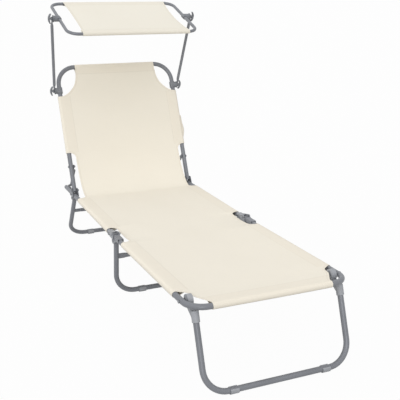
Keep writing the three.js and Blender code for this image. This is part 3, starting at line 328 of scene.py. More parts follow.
def paintMaterial(name, look):
    material, tree, shader = newMaterial(name)
    place = addNode(tree, "TexCoord").outputs["Object"]
    tone = useGroup(tree, mottle, Vector=place, Coarse=look["coarse"], Fine=look["fine"])
    scuffs = noiseNode(tree, stretched(tree, place, paintGrain["scuffs"]), 1.0, paintGrain["scuffDetail"],
                       paintGrain["scuffRough"])
    worn = rampNode(tree, scuffs, 0.66, 0.76)
    colour = mixColour(tree, rampNode(tree, tone["Tone"], 0.3, 0.7), look["base"], look["deep"])
    colour = mixColour(tree, product(tree, worn, look["wear"]), colour, look["rubbed"])
    rough = mathNode(tree, "ADD", rampNode(tree, tone["Speck"], 0.3, 0.7, -0.04, 0.05), look["roughness"])
    feed(tree, shader, {
        "Base Color": colour, "Roughness": mathNode(tree, "MULTIPLY_ADD", worn, 0.1, rough),
        "Metallic": look["metallic"], "Specular IOR Level": paintGrain["specular"],
    })
    bumpInto(tree, shader, tone["Speck"], look["peel"], paintGrain["relief"])
    return material


clothOfSeat = clothMaterial("wovenCloth", clothLook["base"])
# the canopy's copy of the cloth carries painted shade in its base colour
clothOfShade = clothMaterial("wovenShade", clothLook["canopyShadedBase"])
tubePaint, bracketPaint, mouldedPlastic, knobPlastic, zincPlate = [
    paintMaterial(name, look) for name, look in paintLooks.items()]
print("materials made")


# putting pieces in the scene
def meshFrom(bm, name):
    mesh = bpy.data.meshes.new(name)
    bm.to_mesh(mesh)
    bm.free()
    return mesh


def finishPiece(bm, name, body, material, replaced, smooth=35, place=None):
    if place is not None:
        bmesh.ops.transform(bm, matrix=place, verts=bm.verts)
    bm.edges.index_update()
    openEdges = [edge.index for edge in bm.edges if edge.is_boundary]
    mesh = meshFrom(bm, name)
    mesh.polygons.foreach_set("use_smooth", [True] * len(mesh.polygons))
    mesh.set_sharp_from_angle(angle=radians(smooth))
    for index in openEdges:
        mesh.edges[index].use_edge_sharp = True
    mesh.materials.append(material)
    piece = addObject(name, mesh)
    if body:
        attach(piece, body)
    if replaced:
        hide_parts(*replaced)
    return piece


def addModifier(piece, kind, name, **settings):
    modifier = piece.modifiers.new(name, kind)
    for key, value in settings.items():
        setattr(modifier, key, value)


def easeEdges(piece, width, angle):
    addModifier(piece, "BEVEL", "easedEdges", width=width, segments=2, limit_method="ANGLE",
                angle_limit=radians(angle))


def easeStep(value, low, high):
    share = min(1.0, max(0.0, (value - low) / (high - low)))
    return share * share * (3 - 2 * share)


def only(kind, geom):
    return [item for item in geom if isinstance(item, kind)]


def faceOut(bm):
    bmesh.ops.recalc_face_normals(bm, faces=bm.faces)


def facingX(centre):
    return Matrix.Translation(centre) @ Matrix.Rotation(pi / 2, 4, "Y")


def nextRow(bm, edges):
    made = bmesh.ops.extrude_edge_only(bm, edges=edges)["geom"]
    verts = only(BMVert, made)
    fresh = set(verts)
    return verts, [edge for edge in only(BMEdge, made) if fresh.issuperset(edge.verts)]


def closeEnds(bm):
    bmesh.ops.holes_fill(bm, edges=[edge for edge in bm.edges if edge.is_boundary], sides=0)


def sliceAt(bm, spot, normal, **settings):
    bmesh.ops.bisect_plane(bm, geom=bm.verts[:] + bm.edges[:] + bm.faces[:], plane_co=spot, plane_no=normal,
                           **settings)


def spinProfile(bm, profile, axis, sides):
    # profile points are (along the axis, out from it)
    verts = [bm.verts.new(Vector(axis) * along + Vector((0, 0, out))) for along, out in profile]
    edges = [bm.edges.new(pair) for pair in zip(verts, verts[1:])]
    bmesh.ops.spin(bm, geom=verts + edges, cent=(0, 0, 0), axis=axis, dvec=(0, 0, 0), angle=2 * pi,
                   steps=sides, use_merge=True)
    bmesh.ops.remove_doubles(bm, verts=bm.verts, dist=0.000002)


def addDisc(bm, radius, depth, centre, sides):
    bmesh.ops.create_cone(bm, cap_ends=True, segments=sides, radius1=radius, radius2=radius, depth=depth,
                          matrix=facingX(centre))


def mirrored(bm, side):
    # shapes are drawn for the right side
    if side < 0:
        bmesh.ops.scale(bm, vec=(-1, 1, 1), verts=bm.verts)
        faceOut(bm)


# tube bending: a ring pulled straight, then spun round each bend
tubeCut = {
    "frameRadius": 0.0095, "shadeRadius": 0.0065, "sides": 28, "pressedSides": 24, "bendSteps": 14,
    "wall": 0.0012, "burr": 0.00025, "burrAngle": 50, "backBend": 0.080, "footBend": 0.060, "legBend": 0.075,
    "tip": 0.0102, "cope": 0.0098, "footFrom": -0.0006, "railFrom": 0.0003, "railTo": 0.733,
}


def startRing(bm, centre, direction, radius, sides):
    turn = Matrix.Translation(centre) @ direction.to_track_quat("Z", "Y").to_matrix().to_4x4()
    ring = bmesh.ops.create_circle(bm, segments=sides, radius=radius, matrix=turn)
    return list({edge for vert in ring["verts"] for edge in vert.link_edges})


def pullStraight(bm, edges, travel, steps=1):
    for _ in range(steps):
        verts, edges = nextRow(bm, edges)
        bmesh.ops.translate(bm, verts=verts, vec=travel / steps)
    return edges


def bendTube(bm, corners, radius, bend):
    corners = [Vector(corner) for corner in corners]
    edges = startRing(bm, corners[0], (corners[1] - corners[0]).normalized(), radius, tubeCut["sides"])
    at = corners[0]
    for before, corner, after in zip(corners, corners[1:], corners[2:]):
        inward, outward = (corner - before).normalized(), (after - corner).normalized()
        turn = inward.angle(outward)
        stop = corner - inward * bend * tan(turn / 2)
        edges = pullStraight(bm, edges, stop - at, 2)
        toCentre = (outward - inward * inward.dot(outward)).normalized()
        centre = stop + toCentre * bend
        verts = list({vert for edge in edges for vert in edge.verts})
        spun = bmesh.ops.spin(bm, geom=verts + edges, cent=centre, axis=inward.cross(toCentre), angle=turn,
                              dvec=(0, 0, 0), steps=tubeCut["bendSteps"], use_merge=False)
        edges = only(BMEdge, spun["geom_last"])
        at = centre + bend * (inward * sin(turn) - toCentre * cos(turn))
    pullStraight(bm, edges, corners[-1] - at, 2)
    faceOut(bm)


def roundEnd(bm, centre, radius, direction, along=1, across=2):
    # what lies past the centre is cut back to a half disc
    for vert in bm.verts:
        past = direction * (vert.co[along] - centre)
        if past > 0:
            reach = sqrt(max(0.0, radius * radius - vert.co[across] * vert.co[across]))
            vert.co[along] = centre + direction * min(past, reach)


def paintedTube(bm, name, node, body, place):
    return finishPiece(bm, name, body, tubePaint, [node], place=place)


def makeTube(name, node, body, place, corners, radius, bend=0.0, rounding=None):
    bm = bmesh.new()
    bendTube(bm, corners, radius, bend)
    if rounding:
        roundEnd(bm, *rounding)
    piece = paintedTube(bm, name, node, body, place)
    addModifier(piece, "SOLIDIFY", "tubeWall", thickness=tubeCut["wall"], offset=-1, use_even_offset=True,
                use_rim=True)
    easeEdges(piece, tubeCut["burr"], tubeCut["burrAngle"])


def bow(half, start, end):
    # a U from the left end round the far bar to the right end; start and end are (y, z)
    return [(side * half, *spot) for side, spot in ((-1, start), (-1, end), (1, end), (1, start))]


frameRadius, tip, cope = tubeCut["frameRadius"], tubeCut["tip"], tubeCut["cope"]
makeTube("backrestTube", "backrest_tube", "backrest", backPlace, bow(backX, (-tip, 0), (backLength, 0)),
         frameRadius, tubeCut["backBend"], (0, tip, -1))
footBow = bow(railX, (tubeCut["footFrom"], footAxis), (-footLength, footAxis))
makeTube("footTube", "foot_tube", "foot_section", footPlace, footBow, frameRadius, tubeCut["footBend"])
for sideName, side in sidePairs:
    makeTube(f"seatRail_{sideName}", f"seat_rail_{sideName}", "seat", seatPlace,
             [(side * railX, tubeCut["railFrom"], 0), (side * railX, tubeCut["railTo"], 0)], frameRadius)

# domed plastic plugs in the rails' rear ends
plugShape = {"inside": 0.012, "slack": 0.0016, "taper": 0.0002, "lip": 0.0012, "dome": 0.006, "steps": 8}
for sideName, side in sidePairs:
    inside, slack, taper = plugShape["inside"], plugShape["slack"], plugShape["taper"]
    turns = [pi / 2 * step / plugShape["steps"] for step in range(plugShape["steps"] + 1)]
    profile = [(-inside, 0), (-inside, frameRadius - slack), (0, frameRadius - slack + taper),
               (taper, frameRadius - taper)]
    profile += [(plugShape["lip"] + plugShape["dome"] * sin(turn), (frameRadius - taper) * cos(turn))
                for turn in turns]
    bm = bmesh.new()
    spinProfile(bm, profile, (0, 1, 0), tubeCut["sides"])
    faceOut(bm)
    bmesh.ops.translate(bm, vec=(side * railX, tubeCut["railTo"], 0), verts=bm.verts)
    finishPiece(bm, f"railPlug_{sideName}", "seat", knobPlastic, [], place=seatPlace)

legs = {
    "rear": {"half": 0.261, "length": 0.2579, "top": cope, "axis": 0.0, "rake": "rearRake", "brace": 0.091},
    "middle": {"half": 0.262, "length": 0.21764, "top": cope, "axis": 0.0, "rake": "middleRake",
               "brace": 0.065},
    "front": {"half": 0.248, "length": 0.27866, "top": -0.0348, "axis": -0.0356, "rake": "frontRake"},
}
for legName, leg in legs.items():
    leg["place"] = sectionAt(f"{legName}_leg_fold", leg["rake"])
    makeTube(f"{legName}Leg", f"{legName}_leg_tube", f"{legName}_leg", leg["place"],
             bow(leg["half"], (leg["axis"], leg["top"]), (leg["axis"], -leg["length"])),
             frameRadius, tubeCut["legBend"], (0, cope, 1, 2, 1) if leg["top"] > 0 else None)

shadeLoop = {"half": 0.282, "depth": 0.1646, "bend": 0.045, "gap": 0.0003}
half, depth, gap = shadeLoop["half"], shadeLoop["depth"], shadeLoop["gap"]
loopCorners = [(gap, depth), (half, depth), (half, -depth), (-half, -depth), (-half, depth), (-gap, depth)]
makeTube("shadeLoop", "canopy_frame", "canopy", shadePlace, [(x, y, 0) for x, y in loopCorners],
         tubeCut["shadeRadius"], shadeLoop["bend"])
print("bent tubes made")


# tubes pressed flat at an end: arms, struts and braces
def pressFlat(bm, shape, middleX, flatEnd, fadeEnd):
    # the section is an oval that widens as it thins, round again at fadeEnd
    thin = shape["flat"] / 2 / shape["radius"]
    for vert in bm.verts:
        press = 1 - easeStep(vert.co.y, flatEnd, fadeEnd)
        vert.co.x = middleX + (vert.co.x - middleX) * (1 + (thin - 1) * press)
        vert.co.z *= 1 + (shape["spread"] - 1) * press


def pressedTube(shape, stations, presses, ends=()):
    bm = bmesh.new()
    stations = [Vector((*station, 0)) for station in stations]
    edges = startRing(bm, stations[0], Vector((0, 1, 0)), shape["radius"], tubeCut["pressedSides"])
    for before, after in zip(stations, stations[1:]):
        edges = pullStraight(bm, edges, after - before)
    faceOut(bm)
    for press in presses:
        pressFlat(bm, shape, *press)
    for end in ends:
        roundEnd(bm, *end)
    return bm


def between(start, end, *shares):
    return [tuple(low + (high - low) * share for low, high in zip(start, end)) for share in shares]


def pressedEnd(shape, x, roundX):
    # stations from the tip of a pressed end to where the tube is round again
    flatTo = shape["flatTo"]
    stations = [(x, along) for along in (-shape["tip"], -shape["tip"] / 2, 0, flatTo / 2, flatTo)]
    return stations + between((x, flatTo), (roundX, flatTo + shape["fade"]), 0.25, 0.5, 0.75, 1)


armShape = {
    "radius": 0.00625, "length": 0.3345, "low": 0.293, "high": 0.3105, "tip": 0.009, "flat": 0.0044,
    "spread": 1.42, "flatTo": 0.015, "fade": 0.016,
}
for sideName, side in sidePairs:
    low, high, length, flatTo, tip = (armShape[key] for key in ("low", "high", "length", "flatTo", "tip"))
    fadeTo = flatTo + armShape["fade"]
    stations = pressedEnd(armShape, low, low)
    stations += between((low, fadeTo), (high, length - fadeTo), 0.25, 0.5, 0.75)
    stations += [(high, length - along) for _, along in reversed(pressedEnd(armShape, high, high))]
    presses = [(low, flatTo, fadeTo), (high, length - flatTo, length - fadeTo)]
    bm = pressedTube(armShape, stations, presses, [(0, tip, -1), (length, tip, 1)])
    closeEnds(bm)
    mirrored(bm, side)
    paintedTube(bm, f"canopyArm_{sideName}", f"canopy_arm_{sideName}", "canopy_arms", armPlace)

strutShape = {
    "radius": 0.006, "length": 0.1340, "x": 0.2505, "flatX": 0.2562, "tip": 0.00852, "flat": 0.004,
    "spread": 1.42, "flatTo": 0.01348, "fade": 0.014,
    "pinRadius": 0.003, "pinFrom": 0.2435, "pinTo": 0.2612, "pinSides": 20,
}
for sideName, side in sidePairs:
    straightX, flatX, length, radius = (strutShape[key] for key in ("x", "flatX", "length", "radius"))
    fadeTo = strutShape["flatTo"] + strutShape["fade"]
    stations = pressedEnd(strutShape, flatX, straightX)
    stations += between((straightX, fadeTo), (straightX, length), 0.5, 0.95, 1)
    stations.append((straightX, length + radius))
    bm = pressedTube(strutShape, stations, [(flatX, strutShape["flatTo"], fadeTo)],
                     [(0, strutShape["tip"], -1), (length, radius, 1)])
    closeEnds(bm)
    pinFrom, pinTo = strutShape["pinFrom"], strutShape["pinTo"]
    addDisc(bm, strutShape["pinRadius"], pinTo - pinFrom, ((pinTo + pinFrom) / 2, length, 0),
            strutShape["pinSides"])
    mirrored(bm, side)
    strutName = f"strut_{sideName}"
    paintedTube(bm, f"{strutName}_bar", strutName, strutName, strutPlace)

braceShape = {
    "radius": 0.008, "flat": 0.007, "spread": 1.36, "flatTo": 0.020, "fade": 0.022, "inset": 0.0051,
    "rows": (0, 0.004, 0.01, 0.02, 0.026, 0.031, 0.037, 0.042),
}
for legName in ("rear", "middle"):
    leg = legs[legName]
    end = leg["half"] - braceShape["inset"]
    inner = end - braceShape["flatTo"]
    runs = [end - row for row in braceShape["rows"]]
    stations = [(0, along) for along in [-run for run in runs] + [0.0] + runs[::-1]]
    presses = [(0, sign * inner, sign * (inner - braceShape["fade"])) for sign in (-1, 1)]
    bm = pressedTube(braceShape, stations, presses)
    bmesh.ops.rotate(bm, cent=(0, 0, 0), matrix=Matrix.Rotation(-pi / 2, 3, "Z"), verts=bm.verts)
    for vert in bm.verts:  # coped to the leg tube
        limit = leg["half"] - sqrt(max(0.0, cope ** 2 - vert.co.y ** 2))
        vert.co.x = max(-limit, min(limit, vert.co.x))
    closeEnds(bm)
    bmesh.ops.translate(bm, vec=(0, 0, -leg["brace"]), verts=bm.verts)
    paintedTube(bm, f"{legName}Brace", f"{legName}_leg_brace", f"{legName}_leg", leg["place"])
print("pressed tubes made")

# fittings: the frame's own shapes with their edges eased
easing = {"smooth": 42, "flatWithin": 1.5, "weld": 0.00001, "rackEnd": 0.7435}
fittings = [
    ("rack_plate", tubePaint, "tube_steel", "seat", 0.0004),
    ("foot_hinge", tubePaint, "tube_steel", "foot_section", 0.0004),
    ("front_leg_knuckle", mouldedPlastic, "plastic", "front_leg", 0.0009),
    ("front_leg_clip", mouldedPlastic, "plastic", "front_leg", 0.0005),
    ("rear_leg_clip", mouldedPlastic, "plastic", "rear_leg", 0.0005),
    ("middle_leg_clip", mouldedPlastic, "plastic", "middle_leg", 0.0005),
    ("canopy_clamp_lower", knobPlastic, "plastic", "backrest", 0.0006),
    ("canopy_clamp_upper", knobPlastic, "plastic", "canopy", 0.0006),
    ("knob_lower", knobPlastic, "plastic", None, 0.0006),  # each knob rides a body of its own
    ("knob_upper", knobPlastic, "plastic", None, 0.0006),
]


def easedCopy(nodeName, material, body, edge):
    bm = bmesh.new()
    bm.from_mesh(nodes[nodeName].data)
    bmesh.ops.remove_doubles(bm, verts=bm.verts, dist=easing["weld"])
    if nodeName.startswith("rack_plate"):  # the rack ends with its rail
        sliceAt(bm, (0, seatShift + easing["rackEnd"], 0), (0, 1, 0), clear_outer=True)
        closeEnds(bm)
    bmesh.ops.dissolve_limit(bm, angle_limit=radians(easing["flatWithin"]), verts=bm.verts, edges=bm.edges)
    piece = finishPiece(bm, f"{nodeName}_shown", body, material, [nodeName], easing["smooth"])
    easeEdges(piece, edge, easing["smooth"])


for stem, material, slotName, body, edge in fittings:
    for sideName, _ in sidePairs:
        easedCopy(f"{stem}_{sideName}", material, body or f"{stem}_{sideName}", edge)
print("fittings eased")

# hinge brackets: two pressed cheeks that hug the rail and step inboard below it, over the leg's end
brackets = {
    "rear": {
        "bosses": [(0.594, 0.0207, 0.0105), (0.6234, -0.020, 0.0108), (0.581, 0.001, 0.0085)],
        "inner": 0.2545, "outer": 0.2823, "stepInner": 0.0058, "stepOuter": 0.0082, "hug": 0.0,
        "strip": (0.584, 0.597, -0.0104, -0.0096), "arch": None, "paint": tubePaint,
    },
    "middle": {
        "bosses": [(0.0, 0.0123, 0.0072), (0.0188, -0.020, 0.0105), (0.051, 0.001, 0.0085),
                   (-0.011, -0.009, 0.006)],
        "inner": 0.2557, "outer": 0.2846, "stepInner": 0.0060, "stepOuter": 0.0091, "hug": 0.0020,
        "strip": None, "arch": (0.024, 0.0585, 0.0124), "paint": bracketPaint,
    },
}
pressing = {
    "thick": 0.0025, "stepFrom": -0.0025, "stepTo": -0.0115, "stepRows": 6, "hugFrom": 0.024,
    "hugTo": 0.044, "hugRows": 4, "corner": 0.008, "cornerSteps": 8, "bossSides": 36, "ease": 0.0007,
    "smooth": 40, "flatWithin": 1,
}


def addCheek(bm, bosses, inside):
    verts = []
    for across in (inside, inside + pressing["thick"]):
        for along, rise, radius in bosses:
            boss = bmesh.ops.create_circle(bm, segments=pressing["bossSides"], radius=radius,
                                           matrix=facingX((across, along, rise)))
            verts += boss["verts"]
    hull = bmesh.ops.convex_hull(bm, input=verts)
    spare = {item for key in ("geom_interior", "geom_unused") for item in hull[key]}
    bmesh.ops.delete(bm, geom=only(BMVert, spare), context="VERTS")


def addArch(bm, spec):
    # closed top over the rail
    start, stop, top = spec["arch"]
    corner, steps, profile = pressing["corner"], pressing["cornerSteps"], []
    turns = [pi / 2 * step / steps for step in range(steps + 1)]
    for inset, order in ((0, 1), (pressing["thick"], -1)):
        bend = [((corner - inset) * cos(turn), (corner - inset) * sin(turn)) for turn in turns]
        path = [(spec["outer"] - inset, 0.0)]
        path += [(spec["outer"] - corner + far, top - corner + near) for far, near in bend]
        path += [(spec["inner"] + corner - near, top - corner + far) for far, near in bend]
        path += [(spec["inner"] + inset, 0.0)]
        profile += path[::order]
    face = bm.faces.new([bm.verts.new((across, start, rise)) for across, rise in profile])
    moved = bmesh.ops.extrude_face_region(bm, geom=[face])["geom"]
    bmesh.ops.translate(bm, vec=(0, stop - start, 0), verts=only(BMVert, moved))


def addStrip(bm, spec):
    # joins the two cheeks under the rail
    start, stop, low, high = spec["strip"]
    span = spec["outer"] - spec["stepOuter"] - spec["inner"]
    centre = (spec["inner"] + span / 2, (start + stop) / 2, (low + high) / 2)
    size = Matrix.Diagonal((span, stop - start, high - low, 1))
    bmesh.ops.create_cube(bm, size=1, matrix=Matrix.Translation(centre) @ size)


def pressBracket(bm, spec):
    stepFrom, stepTo, hugFrom, hugTo = (pressing[key] for key in ("stepFrom", "stepTo", "hugFrom", "hugTo"))
    for count in range(pressing["stepRows"] + 1):
        sliceAt(bm, (0, 0, stepFrom + (stepTo - stepFrom) * count / pressing["stepRows"]), (0, 0, 1))
    if spec["hug"]:
        for count in range(pressing["hugRows"] + 1):
            sliceAt(bm, (0, hugFrom + (hugTo - hugFrom) * count / pressing["hugRows"], 0), (0, 1, 0))
    for vert in bm.verts:
        step = easeStep(-vert.co.z, -stepFrom, -stepTo)
        hug = spec["hug"] * easeStep(vert.co.y, hugFrom, hugTo)
        outboard = vert.co.x > railX
        vert.co.x += -hug - step * spec["stepOuter"] if outboard else hug - step * spec["stepInner"]


def makeBracket(stem, spec, sideName, side):
    bm = bmesh.new()
    addCheek(bm, spec["bosses"], spec["inner"])
    addCheek(bm, spec["bosses"], spec["outer"] - pressing["thick"])
    bmesh.ops.dissolve_limit(bm, angle_limit=radians(pressing["flatWithin"]), verts=bm.verts, edges=bm.edges)
    if spec["arch"]:
        addArch(bm, spec)
    pressBracket(bm, spec)
    if spec["strip"]:
        addStrip(bm, spec)
    faceOut(bm)
    mirrored(bm, side)
    node, smooth = f"{stem}_bracket_{sideName}", pressing["smooth"]
    piece = finishPiece(bm, f"{node}_pressed", "seat", spec["paint"], [node], smooth,
                        seatPlace)
    easeEdges(piece, pressing["ease"], smooth)


for stem, spec in brackets.items():
    for sideName, side in sidePairs:
        makeBracket(stem, spec, sideName, side)
print("brackets pressed")

# turned bolts and rivets: domed head outside, nut or upset end inside
boltShape = {
    "sides": 28, "chamfer": 0.0005, "headEase": 0.0004, "headEdge": 0.0003, "nutIn": 0.0016,
    "largeHead": 0.0055, "largeNut": 0.0055, "smallNut": 0.0046, "hexSides": 6, "roundSides": 24,
    "boltHead": 0.0032, "rivetHead": 0.0024, "nutHeight": 0.0035, "upsetHeight": 0.0024,
    "pinTip": 0.8, "dome": ((0.45, 0.9), (0.12, 0.58)),
}
# body, radius, head radius, hexagonal nut or not, and what comes off its outer and inner end where a cheek
# steps inboard
fasteners = {
    "backrest_bolt": ("seat", 0.003, 0.006, True, 0, 0.0058),
    "rear_leg_bolt": ("seat", 0.003, 0.006, True, 0.0082, 0),
    "foot_bolt": ("seat", 0.0025, 0.005, True, 0, 0.0060),
    "middle_leg_bolt": ("seat", 0.003, 0.006, True, 0.0091, 0),
    "rear_rivet": ("seat", 0.003, 0.0055, False, 0, 0),
    "middle_rivet": ("seat", 0.003, 0.0055, False, 0.0020, 0),
    "strut_bolt": ("backrest", 0.003, 0.006, True, 0, 0),
    "front_leg_bolt": ("foot_section", 0.003, 0.006, True, 0, 0),
}


def makeFastener(stem, sideName, side):
    body, radius, headRadius, hexNut, trimOuter, trimInner = fasteners[stem]
    name = f"{stem}_{sideName}"
    low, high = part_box(name)
    outer, inner = (high.x, low.x) if side > 0 else (-low.x, -high.x)
    outer, inner = outer - trimOuter, inner + trimInner
    headHeight = boltShape["boltHead" if hexNut else "rivetHead"]
    nutHeight = boltShape["nutHeight" if hexNut else "upsetHeight"]
    nutRadius = boltShape["largeNut" if headRadius > boltShape["largeHead"] else "smallNut"]
    under = outer - headHeight
    bm = bmesh.new()
    spinProfile(bm, [
        (inner, 0.0), (inner, radius * boltShape["pinTip"]), (inner + boltShape["chamfer"], radius),
        (under, radius), (under, headRadius - boltShape["headEdge"]),
        (under + boltShape["headEase"], headRadius),
        *[(outer - headHeight * down, headRadius * out) for down, out in boltShape["dome"]], (outer, 0.0),
    ], (1, 0, 0), boltShape["sides"])
    addDisc(bm, nutRadius, nutHeight, (inner + boltShape["nutIn"] + nutHeight / 2, 0, 0),
            boltShape["hexSides" if hexNut else "roundSides"])
    faceOut(bm)
    mirrored(bm, side)
    centre = (low + high) / 2
    bmesh.ops.translate(bm, vec=(0, centre.y, centre.z), verts=bm.verts)
    finishPiece(bm, f"{name}_turned", body, zincPlate, [name], 50)


for stem in fasteners:
    for sideName, side in sidePairs:
        makeFastener(stem, sideName, side)
print("fasteners made")

# woven covers: laid out flat, folded round the tubes, then set on the frame
cover = {
    "height": 0.0104, "thickness": 0.0009, "columns": 56, "step": 0.009, "curveSteps": 10, "seamIn": 0.042,
    "hemUnder": 0.0012, "allowance": 0.008, "wrapSteps": 14, "free": 0.242, "smooth": 60, "near": 1e-6,
    "tubeRoom": 0.009, "noSeam": 0.05, "hingeReach": 0.03,
}


def bezierWeights(share):
    keep = 1 - share
    return keep ** 3, 3 * keep * keep * share, 3 * keep * share * share, share ** 3


def outlineOf(parts):
    # parts run along the sheet: ("line", start, end) or ("curve", four points), each as (half width, along)
    points = []
    for kind, *given in parts:
        if kind == "line":
            (w0, v0), (w1, v1) = given
            count = max(1, round(abs(v1 - v0) / cover["step"]))
            alongs = [v0 + (v1 - v0) * index / count for index in range(count + 1)]
            run = [(w0 + (w1 - w0) * (v - v0) / (v1 - v0), v) for v in alongs]
        else:
            shares = [step / cover["curveSteps"] for step in range(cover["curveSteps"] + 1)]
            run = [tuple(sum(weight * point[axis] for weight, point in zip(bezierWeights(share), given))
                         for axis in (0, 1)) for share in shares]
        points += run if not points else run[1:]
    return points


def freeGap(points, free, across, along):
    # distance to the free edge and how far round it, for the hem's stitches
    best, run, at = 1.0, 0.0, 0.0
    spot = Vector((abs(across), along))
    for start, end in zip(points, points[1:]):
        middle = (start[1] + end[1]) / 2
        start, end = Vector(start), Vector(end)
        length = (end - start).length
        if any(low <= middle <= high for low, high in free) and length > 0:
            share = min(1.0, max(0.0, (spot - start).dot(end - start) / (length * length)))
            gap = (spot - start.lerp(end, share)).length
            if gap < best:
                best, at = gap, run + share * length
        run += length
    return best, at


def foldHem(bm, edges, flat, radius, seamIn, sign, axis, at):
    # wraps boundary edges round the tube and brings the cloth back to its seam under the sheet
    out = Vector((-seamIn, radius - cover["hemUnder"]))
    leave = atan2(out.y, out.x) + acos(radius / out.length)  # where the cloth leaves the tube
    turned = pi / 2 - (leave - 2 * pi)
    lift = Vector((radius * cos(leave), radius * sin(leave)))
    steps = cover["wrapSteps"]
    centre, outward = Vector(), Vector()
    centre[axis], outward[axis] = at, sign
    turn = Matrix.Rotation((-1 if axis else 1) * sign * turned / steps, 3, "YX"[axis])
    for _ in range(steps):
        verts, edges = nextRow(bm, edges)
        bmesh.ops.rotate(bm, verts=verts, cent=centre, matrix=turn)
        for vert in verts:
            vert[flat] += outward * radius * turned / steps
    run = (out - lift).length
    pulls = [(lift.lerp(out, share), run * gain) for share, gain in ((0.35, 0.35), (0.7, 0.35), (1.0, 0.3))]
    pulls.append((out - Vector((cover["allowance"], 0)), cover["allowance"]))
    for spot, gain in pulls:
        verts, edges = nextRow(bm, edges)
        for vert in verts:
            vert.co[axis], vert.co.z = at + sign * spot.x, spot.y
            vert[flat] += outward * gain


def clothLayers(bm):
    layers = bm.verts.layers
    return layers.float_vector.new("flatAt"), *[layers.float.new(name) for name in gapNames]


def layUv(bm, flat):
    uv = bm.loops.layers.uv.new("flatCut")
    for face in bm.faces:
        for loop in face.loops:
            loop[uv].uv = loop.vert[flat].xy


def coverSheet(spec):
    # flat sheet with its tunnels, in flat layout: X across, Y along, Z above the tubes' axes
    points = outlineOf(spec["outline"])
    widths = {round(along, 6): half for half, along in points}
    stations, near = sorted(widths), cover["near"]
    bm = bmesh.new()
    flat, sideGap, endGap, edgeGap, edgeRun = clothLayers(bm)
    bmesh.ops.create_grid(bm, x_segments=cover["columns"], y_segments=len(stations) - 1, size=1)
    for vert in bm.verts:
        along = stations[round((vert.co.y + 1) / 2 * (len(stations) - 1))]
        across = vert.co.x * widths[along]
        vert.co = (across, along, spec["height"])
        vert[flat] = vert.co.copy()
        sleeved = any(low - near <= along <= high + near for low, high in spec["sleeves"])
        vert[sideGap] = abs(across) - (spec["sleeveX"] - cover["seamIn"]) if sleeved else -1.0
        vert[endGap] = max(spec["endSeam"] - abs(along - bar) for bar in spec["bars"])
        vert[edgeGap], vert[edgeRun] = freeGap(points, spec["free"], across, along)
    sheetVerts = set(bm.verts)

    def rimEdges(belongs):
        return [edge for edge in bm.edges if edge.is_boundary
                and all(vert in sheetVerts and belongs(vert.co) for vert in edge.verts)]

    for side in (-1, 1):
        for low, high in spec["sleeves"]:
            edges = rimEdges(lambda spot: low - near <= spot.y <= high + near
                             and abs(spot.x - side * widths[round(spot.y, 6)]) < near)
            edges = [edge for edge in edges if abs(edge.verts[0].co.y - edge.verts[1].co.y) > near]
            foldHem(bm, edges, flat, spec["height"], cover["seamIn"], side, 0, side * spec["sleeveX"])
    for bar in spec["bars"]:
        outward = 1 if bar > (stations[0] + stations[-1]) / 2 else -1
        edges = rimEdges(lambda spot: abs(spot.y - bar) < near)
        foldHem(bm, edges, flat, spec["height"], spec["endSeam"], outward, 1, bar)
    for vert in bm.verts:
        if vert not in sheetVerts:  # hems carry no second row of stitches
            vert[sideGap] = vert[endGap] = cover["noSeam"]
            vert[edgeGap] = 1.0
    layUv(bm, flat)
    laid = [[vert[flat][axis] for vert in bm.verts] for axis in (0, 1)]
    return bm, sum(face.calc_area() for face in bm.faces), tuple(max(row) - min(row) for row in laid)


# each wave has its scale across and along, its seed and its share
folds = {"hold": 0.03, "fan": 0.7, "waves": ((7, 5, 0, 1), (19, 15, 7, 0.3))}
droops = {"from": 0.10, "over": 0.13, "bow": 0.7, "shadeFrom": 0.15, "shadeOver": 0.08}


def tugFolds(x, y, anchors):
    # soft creases that run from where the cloth is held toward the middle of the sheet
    total = 0.0
    for anchorX, anchorY, toward, reach, size, count in anchors:
        for side in (-1, 1):
            away = Vector((x - side * anchorX, y - anchorY))
            distance = away.length
            if distance < 1e-5:
                continue
            aim = Vector((-side * cos(toward), sin(toward)))
            angle = atan2(aim.x * away.y - aim.y * away.x, aim.dot(away))
            window = exp(-(distance / reach) ** 2) * (1 - exp(-(distance / folds["hold"]) ** 2))
            total += size * window * cos(count * angle) * exp(-(angle / folds["fan"]) ** 2)
    return total


def settle(bm, spec):
    # the sheet's own weight, faint waves and the folds at its corners
    for vert in bm.verts:
        x, y = vert.co.x, vert.co.y
        room = 1.0
        if spec["sleeves"]:
            room = max(0.0, 1 - (x / (spec["sleeveX"] - cover["tubeRoom"])) ** 2)
        for bar in spec["bars"]:
            room *= min(1.0, abs(y - bar) / spec["barEase"]) ** 0.6
        waves = sum(noise.noise(Vector((x * across, y * along, spec["seed"] + seed))) * share
                    for across, along, seed, share in folds["waves"])
        vert.co.z += room * (waves * spec["waves"] - spec["sag"] + tugFolds(x, y, spec["tugs"]))
        for start, stop, drop in spec.get("drops", ()):  # a free edge hangs lower than its sleeves
            share = (y - start) / (stop - start)
            if 0 < share < 1:
                outboard = min(1.0, max(0.0, abs(x) - droops["from"]) / droops["over"])
                vert.co.z -= drop * (4 * share * (1 - share)) ** droops["bow"] * outboard ** 2
        if "droop" in spec and vert.co.z > 0:
            beyond = max(0.0, abs(x) - droops["shadeFrom"]) / droops["shadeOver"]
            vert.co.z -= room * spec["droop"] * beyond * beyond


def finishCloth(bm, name, body, material, replaced, smooth, area):
    piece = finishPiece(bm, name, body, material, replaced, smooth)
    addModifier(piece, "SOLIDIFY", "clothThickness", thickness=cover["thickness"], offset=0, use_rim=True)
    return piece


